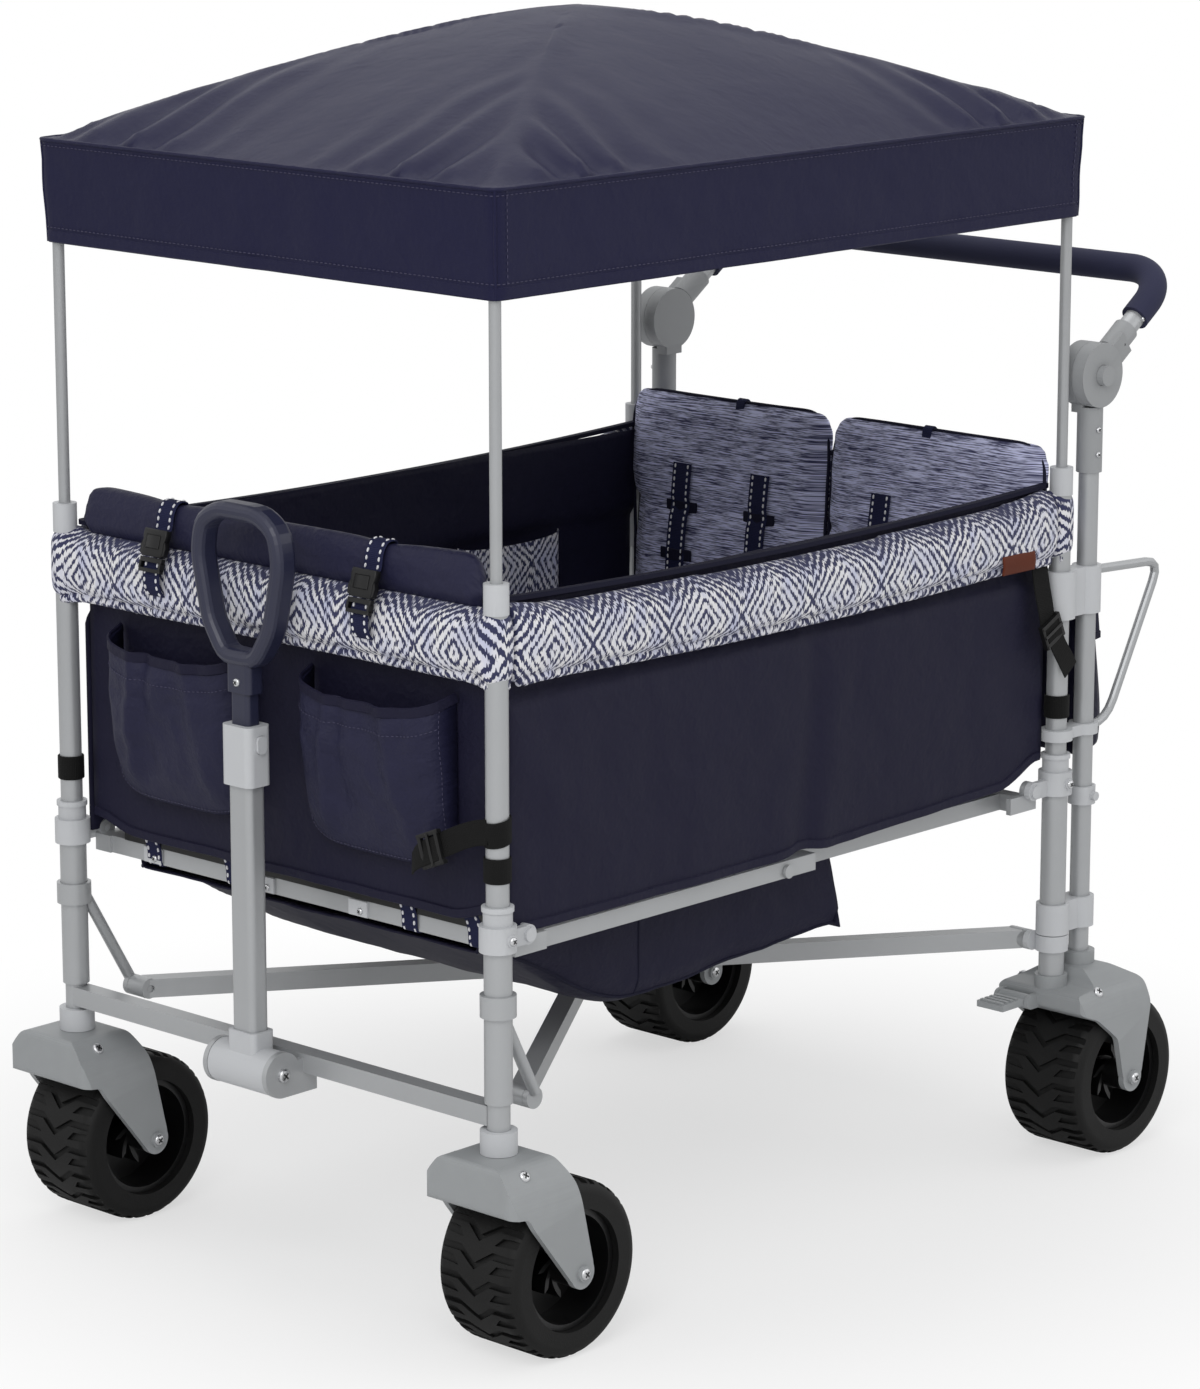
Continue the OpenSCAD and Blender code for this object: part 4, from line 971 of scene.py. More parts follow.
# A lighter copy of the navy cloth for the front pockets and flap: painted light on them.
LIT_NAVY = ClothFinish("navy_cloth_painted_lit", "navy_cloth", (33, 33, 58), 0.5, crease_depth=0.012, gloss=0.2)
PRINT = PrintFinish("printed_cloth", "printed_cloth", (232, 231, 233), 0.75)
SEAT = SlubFinish("seat_cloth", "seat_cloth", (44, 46, 84), 0.85)
PIPING = ClothFinish("navy_piping", "navy_cloth", (24, 24, 42), 0.7, crease_depth=0.0005)
BLACK_WEB = WebbingFinish("black_webbing", "webbing", (13, 13, 13), 0.8)
NAVY_WEB = WebbingFinish("navy_webbing", "webbing", (28, 31, 62), 0.8)
THREAD = Finish("white_thread", "webbing", (226, 226, 230), 0.7)
DARK_THREAD = Finish("navy_thread", "navy_cloth", (62, 60, 86), 0.7)
STEEL = HardFinish("silver_paint", "steel", (171, 173, 175), 0.38, 0.35, wear=0.15, spread=0.05)
GREY = HardFinish("light_grey_plastic", "grey_plastic", (190, 192, 195), 0.5, spread=0.05, wear=0.2)
HUB = HardFinish("hub_grey_plastic", "grey_plastic", (150, 152, 154), 0.5, spread=0.05, wear=0.2)
FORK = HardFinish("fork_grey_plastic", "fork_plastic", (150, 153, 155), 0.5, spread=0.06, wear=0.25)
BLACK = HardFinish("black_plastic", "black_plastic", (10, 10, 11), 0.45, wear=0.5, gloss=0.35)
GRIP = HardFinish("navy_grip", "navy_grip", (36, 38, 60), 0.42, grain=500.0, wear=0.2)
FOAM = HardFinish("navy_foam", "navy_grip", (32, 34, 62), 0.85, grain=700.0, grain_depth=0.0005, wear=0.1)
RUBBER = HardFinish(
    "tyre_rubber", "tyre", (9, 9, 9), 0.6, grain=700.0, grain_depth=0.0004, wear=0.35, gloss=0.28
)
RIM = HardFinish("rim_plastic", "black_plastic", (9, 9, 10), 0.36, wear=0.4)
ZINC = HardFinish("zinc_screw", "steel", (205, 206, 208), 0.28, 0.9, wear=0.1, spread=0.08)
# Dark metal laid in the screws' cross recesses: painted shade in the hollow.
RECESS_SHADE = Finish("painted_screw_shade", "steel", (60, 61, 62), 0.5, 0.6)
LEATHER = HardFinish(
    "brown_leather", "webbing", (88, 38, 20), 0.55,
    grain=420.0, grain_depth=0.0004, wear=0.4, spread=0.25, gloss=0.2,
)


class Body(Enum):
    """CAD bodies that scene pieces ride on."""

    REAR = "rear_frame"
    FRONT = "front_frame"
    FLOOR_REAR = "floor_rear"
    FLOOR_FRONT = "floor_front"


def settle(obj: Piece, finish: Finish, body: Body, *nodes: str) -> Piece:
    """Dresses a piece, puts it on its body and hides the CAD nodes that it stands for.

    Args:
        obj: The piece.
        finish, body, nodes: Its finish, its body and those nodes.

    Returns:
        The piece.
    """
    finish.put_on(obj)
    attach(obj, body.value)
    if nodes:
        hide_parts(*nodes)
    LOG.info("%s: %d faces on %s", obj.name, len(obj.data.polygons), body.value)
    return obj


def fold_away(obj: Piece) -> None:
    """Gives a soft piece its own copy of its mesh."""
    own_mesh(obj)


def fold_seat(*pieces: Piece) -> None:
    """Gives each piece of a seat its own copy of its mesh."""
    for piece in pieces:
        fold_away(piece)


def thicken(obj: Piece, thick: float, offset: float = -1.0) -> None:
    """Gives a sheet its thickness.

    Args:
        obj: The sheet.
        thick, offset: Thickness, and the side that it lies on.
    """
    solid = obj.modifiers.new("cloth_thickness", "SOLIDIFY")
    solid.thickness, solid.offset = thick, offset
    apply_modifiers(obj)


@dataclass
class Canopy:
    """Roof sheet with its valance, on four poles."""

    half_l: float = 447.0
    half_w: float = 323.0
    eave_z: float = 1150.0
    rise: float = 125.0
    drop: float = 105.0
    corner: float = 9.0
    cells: int = 120
    rows: int = 10
    pleat_pitch: float = 58.0
    pleat_height: float = 9.0
    pleat_place: float = 120.0
    hip_height: float = 4.5
    rib_gap: float = 19.0
    rib_reach: float = 0.949

    def dome(self, x: float, y: float) -> float:
        """Height of the taut roof over a point of the plan.

        Args:
            x, y: Place in the tub's frame.

        Returns:
            Height in millimetres.
        """
        a, b = abs(x / self.half_l), abs(y / self.half_w)
        power = 4.0 + 14.0 * max(a, b) ** 3
        reach = min(1.0, (a**power + b**power) ** (1 / power))
        return self.eave_z + self.rise * (1.0 - reach**1.5)

    def height(self, x: float, y: float) -> float:
        """Height of the creased roof over a point of the plan."""
        return self.dome(x, y) + max(-8.0, self.folds(x, y))

    def folds(self, x: float, y: float) -> float:
        """Pleats that climb from the eaves near each corner, creases on the hips, and a little slack.

        Args:
            x, y: Place in the tub's frame.

        Returns:
            Height that they add.
        """
        dx, dy = self.half_l - abs(x), self.half_w - abs(y)
        a, b = abs(x) / self.half_l, abs(y) / self.half_w
        inward, along = (dx, dy) if a > b else (dy, dx)
        turn = 2 * math.pi * along / self.pleat_pitch + 2.4 * wander(x * 0.008, y * 0.008)
        near = bell(along - self.pleat_place, 100.0) * ease(inward / 14.0) * math.exp(-inward / 130.0)
        pleat = self.pleat_height * math.sin(turn) * near * ease(abs(a - b) / 0.09)
        edge = ease(inward / 50.0)
        hip = self.hip_height * bell((a - b) * 300.0, 17.0) * edge * ease((1.0 - inward / self.half_w) * 3.0)
        slack = 2.2 * wander(x * 0.006, y * 0.006, 3.0) + 0.8 * wander(x * 0.02, y * 0.02, 7.0)
        return pleat + hip + edge * slack

    def plan(self, u: float, v: float) -> Pair:
        """Plan position with rounded corners.

        Args:
            u, v: Shares along and across.

        Returns:
            Place in the tub's frame.
        """
        x, y = self.half_l * (2 * u - 1), self.half_w * (2 * v - 1)
        dx, dy = abs(x) - self.half_l + self.corner, abs(y) - self.half_w + self.corner
        if dx > 0 and dy > 0 and math.hypot(dx, dy) > self.corner:
            k = self.corner / math.hypot(dx, dy)
            x = math.copysign(self.half_l - self.corner + dx * k, x)
            y = math.copysign(self.half_w - self.corner + dy * k, y)
        return x, y

    def hem_point(self, x: float, y: float, t: float, s: float) -> Vector:
        """Point of the valance under an eave point, t of the way down.

        Args:
            x, y: The eave point.
            t, s: Share of the drop, and distance round the eave.

        Returns:
            The point.
        """
        inward = 1.0 - 0.006 * t
        wave = (1.6 * wander(s * 0.011, t * 2.0, 5.0) + 0.8 * wander(s * 0.03, t * 3.0, 9.0)) * ease(t * 3)
        out = Vector((x, y, 0)).normalized() * (wave - 1.2) * ease(t * 4)
        return tub(x * inward + out.x, y * inward + out.y, self.eave_z - self.drop * t)

    def build(self) -> None:
        """Makes the sheet with its valance, then its trim and ribs."""
        n = self.cells

        def spot(i: int, j: int) -> Pair:
            """Plan position of a grid point."""
            return self.plan(i / n, j / n)

        verts, faces, coords = [], [], []
        for i in range(n + 1):
            for j in range(n + 1):
                x, y = spot(i, j)
                verts.append(tub(x, y, self.height(x, y)))
        for i in range(n):
            for j in range(n):
                a = i * (n + 1) + j
                quad = (a, a + n + 1, a + n + 2, a + 1)
                faces.append(quad)
                coords += [(verts[k].x, verts[k].y) for k in quad]
        rim = [(i, 0) for i in range(n)] + [(n, j) for j in range(n)]
        rim += [(i, n) for i in range(n, 0, -1)] + [(0, j) for j in range(n, 0, -1)]
        loop = [i * (n + 1) + j for i, j in rim]
        along = [0.0]
        for (a, b), (c, d) in zip(rim, rim[1:] + rim[:1]):
            along.append(along[-1] + math.dist(spot(a, b), spot(c, d)))
        count, above = len(loop), loop
        hem: list[Vector] = []
        corners = (0, n, 2 * n, 3 * n)
        seams = [[verts[loop[m]]] for m in corners]
        for k in range(1, self.rows + 1):
            t = k / self.rows
            below = list(range(len(verts), len(verts) + count))
            hem = [self.hem_point(*spot(i, j), t, along[m]) for m, (i, j) in enumerate(rim)]
            verts += hem
            for line, m in zip(seams, corners):
                line.append(hem[m])
            for m in range(count):
                o = (m + 1) % count
                faces.append((above[m], below[m], below[o], above[o]))
                v0, v1 = -self.drop * (k - 1) / self.rows * MM, -self.drop * t * MM
                u0, u1 = along[m] * MM, along[m + 1] * MM
                coords += [(u0, v0), (u0, v1), (u1, v1), (u1, v0)]
            above = below
        roof = MeshBuffer().add(verts, faces, coords).build("canopy_roof_sheet", 50.0)
        thicken(roof, THIN_CLOTH)
        eave = [tub(*spot(i, j), self.eave_z) for i, j in rim]
        self.trim(roof, hem, eave, seams)

    def trim(self, roof: Piece, hem: list[Vector], eave: list[Vector], seams: list[list[Vector]]) -> None:
        """Adds the hem band, the eave and corner seams, their stitching and the ribs.

        Args:
            roof: The sheet.
            hem: Loop of the valance's lower edge.
            eave: Loop of its upper edge.
            seams: Lines of its four corners, from top to bottom.
        """
        up = Vector(UP)
        band = MeshBuffer()
        band.sweep([p + up * 0.006 for p in hem], UP, flat_section(0.013, 0.0026), closed=True)
        pucker = [1.0 + 0.35 * wander(i * 0.45, 0.0, 60.0) for i in range(len(eave))]
        band.sweep([p - up * 0.001 for p in eave], UP, disc(0.0021, 8), closed=True, swell=pucker)
        rows = MeshBuffer()
        centre = tub(0, 0, 0)

        def proud(p: Vector, d: float) -> Vector:
            """A point moved outward from the roof's middle."""
            return p + Vector((p.x - centre.x, p.y, 0)).normalized() * d

        rows.stitches([proud(p, 0.0012) + up * 0.015 for p in [*hem, hem[0]]], *HEM_STITCH)
        rows.stitches([proud(p, 0.0006) - up * 0.007 for p in [*eave, eave[0]]], *HEM_STITCH)
        for line in seams:
            band.sweep(line, ALONG, disc(0.0017, 8))
            inset = Vector((math.copysign(0.013, centre.x - line[0].x), math.copysign(0.0032, line[0].y), 0))
            rows.stitches([p + inset for p in line], *HEM_STITCH)
        binding = band.build("canopy_hem_band")
        sewing = rows.build("canopy_stitching")
        ribs = MeshBuffer()
        for s in (-1, 1):
            path = []
            for i in range(-24, 25):
                k = self.rib_reach * i / 24
                x, y = k * self.half_l, s * k * self.half_w
                path.append(tub(x, y, self.dome(x, y) - self.rib_gap - 4.0 * s))
            ribs.sweep(path, UP, disc(0.0025, 10))
        rods = ribs.build("canopy_rib_rods")
        settle(roof, ROOF, Body.REAR, "canopy_roof")
        settle(binding, ROOF, Body.REAR)
        settle(sewing, DARK_THREAD, Body.REAR)
        settle(rods, BLACK, Body.REAR, "canopy_ribs")
        for piece in (roof, binding, sewing, rods):
            fold_away(piece)


@dataclass(frozen=True)
class Station:
    """One cross-section along a rail: where it starts, which way it bulges and how far it droops."""

    x: float
    y: float
    out: Pair
    droop: float = 0.0

    def at(self, out: float, z: float) -> Vector:
        """Point of the section, in the row frame."""
        return tub(self.x + self.out[0] * out, self.y + self.out[1] * out, z - self.droop)


@dataclass
class RailPads:
    """Padded printed rails round the tub's rim."""

    inner: float = 15.4
    depth: float = 32.0
    sag: float = 9.0
    side_cells: int = 60
    end_cells: int = 50
    rows: int = 14
    fill: Swell = Swell(cap=0.005)

    @property
    def end_x(self) -> float:
        """Inner line of the end rails."""
        return POST_X - self.inner

    @property
    def side_y(self) -> float:
        """Inner line of the side rails."""
        return HALF_W - self.inner

    def side_stations(self, side: int) -> list[Station]:
        """Sections of a side rail from front to rear.

        Args:
            side: -1 for the left.

        Returns:
            The sections.
        """
        reach = self.end_x - 1.0
        spots = [reach * (2 * i / self.side_cells - 1) for i in range(self.side_cells + 1)]
        return [Station(x, side * self.side_y, (0.0, side), self.sag * (1 - (x / reach) ** 2)) for x in spots]

    def end_stations(self, side: int) -> list[Station]:
        """Sections of an end rail, which turns both corners.

        Args:
            side: -1 for the front.

        Returns:
            The sections.
        """
        turn = [math.radians(9 * i) for i in range(11)]
        near = [Station(side * self.end_x, -self.side_y, (side * math.sin(a), -math.cos(a))) for a in turn]
        spots = [self.side_y * (2 * i / self.end_cells - 1) for i in range(1, self.end_cells)]
        straight = [Station(side * self.end_x, y, (side, 0.0)) for y in spots]
        far = [Station(side * self.end_x, self.side_y, (side * math.cos(a), math.sin(a))) for a in turn]
        return [*near, *straight, *far]

    def profile(self, v: float, st: Station) -> Pair:
        """Outward reach and height of the cover, a little slack for the filling.

        Args:
            v, st: Share of the height, and the section.

        Returns:
            Reach and height in millimetres.
        """
        turn = 2 * abs(st.out[0] * st.out[1])
        corner = 1.0 + 0.38 * turn
        full = crown(0.5 + 0.49 * (2 * v - 1), 3.2 + 5.0 * turn)
        return 3.0 + (self.depth - 7.0) * full * corner, PAD_Z + 4.0 + (RIM_Z - PAD_Z - 8.0) * v

    def pad(self, name: str, stations: list[Station], flat: Reshape) -> Piece:
        """Lofts and fills one pad.

        Args:
            name: Name of the piece.
            stations: Its sections in order.
            flat: Cloth coordinates of positions.

        Returns:
            The pad in the row frame.
        """
        rows, verts = self.rows, []
        for st in stations:
            outer = [self.profile(j / rows, st) for j in range(rows + 1)]
            verts += [st.at(*p) for p in outer] + [st.at(1.0, z) for _, z in reversed(outer)]
        m, n = 2 * rows + 2, len(stations)
        faces = [
            (i * m + j, (i + 1) * m + j, (i + 1) * m + (j + 1) % m, i * m + (j + 1) % m)
            for i in range(n - 1) for j in range(m)
        ]
        faces += [tuple(range(m)), tuple(range(n * m - 1, (n - 1) * m - 1, -1))]
        pad = MeshBuffer().add(verts, faces).build(name)
        low, high = (PAD_Z - self.sag) * MM, RIM_Z * MM
        along = 0 if "left" in name or "right" in name else 1
        wall = (self.side_y if along == 0 else self.end_x) * MM
        across, centre = 1 - along, (0.0 if along == 0 else SHIFT)

        def hold(spots: np.ndarray) -> np.ndarray:
            """Keeps the filled piece in its room.

            Args:
                spots: Rows of positions.

            Returns:
                The kept positions.
            """
            spots = spots.copy()
            spots[:, 2] = np.clip(spots[:, 2], low, high)
            middle = np.abs(spots[:, 1]) < self.side_y * MM if along else np.full(len(spots), True)
            gap = spots[:, across] - centre
            kept = np.sign(gap) * np.maximum(np.abs(gap), wall)
            spots[:, across] = np.where(middle, centre + kept, spots[:, across])
            if along == 0:
                reach = (self.end_x - 0.5) * MM
                spots[:, 0] = np.clip(spots[:, 0], SHIFT - reach, SHIFT + reach)
            return spots

        self.fill.fill(pad, hold)
        rows_now = coordinates(pad.data)
        for row in rows_now:
            d = abs(row[across] - centre) - wall
            if d > 0.012:
                soft = 0.0013 * wander(row[along] * 14.0, row[2] * 14.0, 40.0)
                seam = bell(row[2] - (PAD_Z + 8) * MM, 0.016)
                gather = 0.0012 * seam * wander(row[along] * 75.0, 0.0, 41.0)
                row[across] += (soft + gather) * np.sign(row[across] - centre)
        place_vertices(pad.data, rows_now)
        map_cloth(pad, flat)
        return pad

    def side_flat(self, c: np.ndarray) -> np.ndarray:
        """Cloth coordinates on a side rail, carried on from the corner.

        Args:
            c: Rows of positions.

        Returns:
            The coordinates.
        """
        x = (c[:, 0] - SHIFT) / (self.end_x * MM)
        d = np.abs(c[:, 1]) - self.side_y * MM
        return self.wrap(c[:, 0] - SHIFT + 0.75, c[:, 2] + self.sag * MM * (1 - np.minimum(1, x * x)), d)

    def end_flat(self, c: np.ndarray) -> np.ndarray:
        """Cloth coordinates on an end rail and its corners.

        Args:
            c: Rows of positions.

        Returns:
            The coordinates.
        """
        dx = np.abs(c[:, 0] - SHIFT) - self.end_x * MM
        dy = np.maximum(np.abs(c[:, 1]) - self.side_y * MM, 0)
        turn = np.arctan2(dy, np.maximum(dx, 1e-6))
        run = np.sign(c[:, 1]) * (np.minimum(np.abs(c[:, 1]), self.side_y * MM) + 0.026 * turn)
        return self.wrap(run, c[:, 2], np.hypot(dx, dy))

    def wrap(self, run: np.ndarray, z: np.ndarray, d: np.ndarray) -> np.ndarray:
        """Carries the print over the top and bottom of a pad."""
        upper = np.clip((z - (PAD_Z + RIM_Z) / 2 * MM) / 0.03, -1, 1)
        return np.stack([run, z + 0.7 * upper * (self.depth * MM - d)], 1)

    def build(self) -> None:
        """Makes the four pads with their gathered hems and bindings."""
        for name, stations, flat, body, node in (
            ("rail_pad_left", self.side_stations(-1), self.side_flat, Body.REAR, "side_rail_pads"),
            ("rail_pad_right", self.side_stations(1), self.side_flat, Body.REAR, "side_rail_pads"),
            ("rail_pad_front", self.end_stations(-1), self.end_flat, Body.FRONT, "front_rail_pad"),
            ("rail_pad_rear", self.end_stations(1), self.end_flat, Body.REAR, "rear_rail_pad"),
        ):
            pad = settle(self.pad(name, stations, flat), PRINT, body, node)
            hem = settle(self.hem(pad, stations, flat), PRINT, body)
            edge = settle(self.binding(name + "_binding", stations), PIPING, body)
            if node == "side_rail_pads":
                for piece in (pad, hem, edge):
                    fold_away(piece)

    def hem(self, pad: Piece, stations: list[Station], flat: Reshape) -> Piece:
        """Gathered roll along a pad's lower seam.

        Args:
            pad, stations: The pad and its sections.
            flat: Cloth coordinates of positions.

        Returns:
            The roll.
        """
        path = []
        for st in stations:
            below = st.at(self.depth * (0.9 + 0.25 * abs(st.out[0] * st.out[1])), PAD_Z - 6.0)
            _, near, _, _ = pad.closest_point_on_mesh(below)
            path.append(near + (below - near).normalized() * 0.0015)
        ends = [path[0], *path, path[-1]]
        path = [(ends[i] + p * 2 + ends[i + 2]) / 4 for i, p in enumerate(path)]
        fine = curve_points(path, 5)
        swell = [1.0 + 0.22 * wander(i * 0.55, 0.0, 50.0) for i in range(len(fine))]
        section = [(1.25 * a, b) for a, b in disc(0.0042, 10)]
        roll = MeshBuffer().sweep(fine, UP, section, swell=swell).build(pad.name + "_hem")
        map_cloth(roll, flat)
        return roll

    def binding(self, name: str, stations: list[Station]) -> Piece:
        """Navy binding along a pad's inner top edge."""
        path = [st.at(4.0, RIM_Z - 2.0) for st in stations]
        return MeshBuffer().sweep(path, UP, flat_section(0.006, 0.008)).build(name)


@dataclass
class TubWalls:
    """Cloth walls of the tub; the side walls leave room for the rails that fold up inside them."""

    side_foot: float = 425.0
    end_foot: float = 431.0
    room: float = 10.0
    belly: float = 5.0
    tall: float = WALL_TOP - WALL_Z

    @property
    def side_half(self) -> float:
        """Half the length of a side wall."""
        return POST_X - WALL_IN - 2.5

    def side_point(self, side: int) -> Surface:
        """Outer surface of a side wall; side is -1 for the left wall.

        Args:
            side: -1 for the left.

        Returns:
            The surface.
        """
        half, line = self.side_half, HALF_W - WALL_IN

        def point(u: float, v: float) -> Vector:
            """Point of the wall.

            Args:
                u, v: Shares along and up.

            Returns:
                The point.
            """
            x = half * (2 * u - 1)
            rear = ease((x - 30.0) / 380.0)
            foot = self.side_foot + 9.0 * rear + 22.0 * ease((x - 340.0) / 70.0) + 5.0 * bell(x - 18.0, 26.0)
            z = foot + (WALL_TOP - foot) * v
            belly = self.belly * crown(u, 4) * crown(min(1.0, v / 0.72), 3)
            crease = 6.0 * bell(x - 20.0 - 25.0 * v, 15.0) * (1 - v) ** 0.5
            crease -= 3.0 * bell(x - 52.0 - 25.0 * v, 18.0) * (1 - v)
            slack = 3.6 * wander(x * 0.011, z * 0.006, 2.0 + side)
            slack += 1.8 * wander(x * 0.03, z * 0.02, 4.0 + side)
            pull = 1.8 * math.sin(0.05 * (x + 0.9 * z)) * bell(abs(x) - half, 90.0)
            clear = self.room * (1.0 - ease((z - 646.0) / 20.0))
            loose = belly - crease + (slack + pull) * crown(u, 8) * (1 - v**4)
            return tub(x, side * max(line + clear + loose * 0.9, line + 0.93 * clear), z)

        return point

    def end_point(self, side: int) -> Surface:
        """Outer surface of an end wall; side is -1 for the front wall.

        Args:
            side: -1 for the front.

        Returns:
            The surface.
        """
        half = HALF_W - WALL_IN

        def point(u: float, v: float) -> Vector:
            """Point of the wall.

            Args:
                u, v: Shares along and up.

            Returns:
                The point.
            """
            y = half * (2 * u - 1)
            foot = self.end_foot + (14.0 if side < 0 else 29.0) * ease((abs(y) - 230.0) / 62.0)
            z = foot + (WALL_TOP - foot) * v
            loose = 2.4 * wander(y * 0.012, z * 0.009, 6.0 + side) + 1.3 * wander(y * 0.035, z * 0.02, 8.0)
            x = POST_X - WALL_IN - 1.0 + (loose - 1.2) * crown(u, 8) * (1 - v**4)
            if side > 0:
                x = max(x, seat_rear(z) + 3.6)
            return tub(side * x, y, z)

        return point

    def build(self) -> None:
        """Makes the four walls with hems."""
        side_len, tall = 2 * self.side_half * MM, self.tall * MM
        for side, name in ((-1, "side_wall_left"), (1, "side_wall_right")):
            wall = self.panel(name, 110, 44, self.side_point(side), (side_len, tall))
            settle(wall, NAVY, Body.REAR, "side_walls")
            hem = self.hem(name + "_hem", self.side_point(side), (0, side, 0), 90)
            settle(hem, NAVY, Body.REAR)
            fold_away(wall)
            fold_away(hem)
        for side, name, body, node in (
            (-1, "end_wall_front", Body.FRONT, "front_wall"), (1, "end_wall_rear", Body.REAR, "rear_wall"),
        ):
            size = (2 * (HALF_W - WALL_IN) * MM, tall)
            wall = self.panel(name, 70, 40, self.end_point(side), size)
            settle(wall, NAVY, body, node)
            hem = self.hem(name + "_hem", self.end_point(side), (side, 0, 0), 60)
            settle(hem, NAVY, body)

    @staticmethod
    def panel(name: str, nu: int, nv: int, point: Surface, size: Pair) -> Piece:
        """Makes one wall whose thickness lies inside its outer surface.

        Args:
            name: Name of the wall.
            nu, nv: Cells each way.
            point, size: The surface, and its flat size in metres.

        Returns:
            The wall.
        """
        wall = MeshBuffer().grid(nu, nv, point, size).build(name)
        outward = Vector(ACROSS if "side" in name else ALONG)
        outward *= -1 if name in ("side_wall_left", "end_wall_front") else 1
        if sum(p.normal.dot(outward) for p in wall.data.polygons) < 0:
            wall.data.flip_normals()
        thicken(wall, CLOTH)
        return wall

    @staticmethod
    def hem(name: str, point: Surface, outward: Sequence[float], n: int) -> Piece:
        """Bound lower edge of a wall."""
        path = [Vector(point(0.004 + 0.992 * i / n, 0.012)) + Vector(outward) * 0.0006 for i in range(n + 1)]
        return MeshBuffer().sweep(path, UP, flat_section(0.010, 0.0034)).build(name)


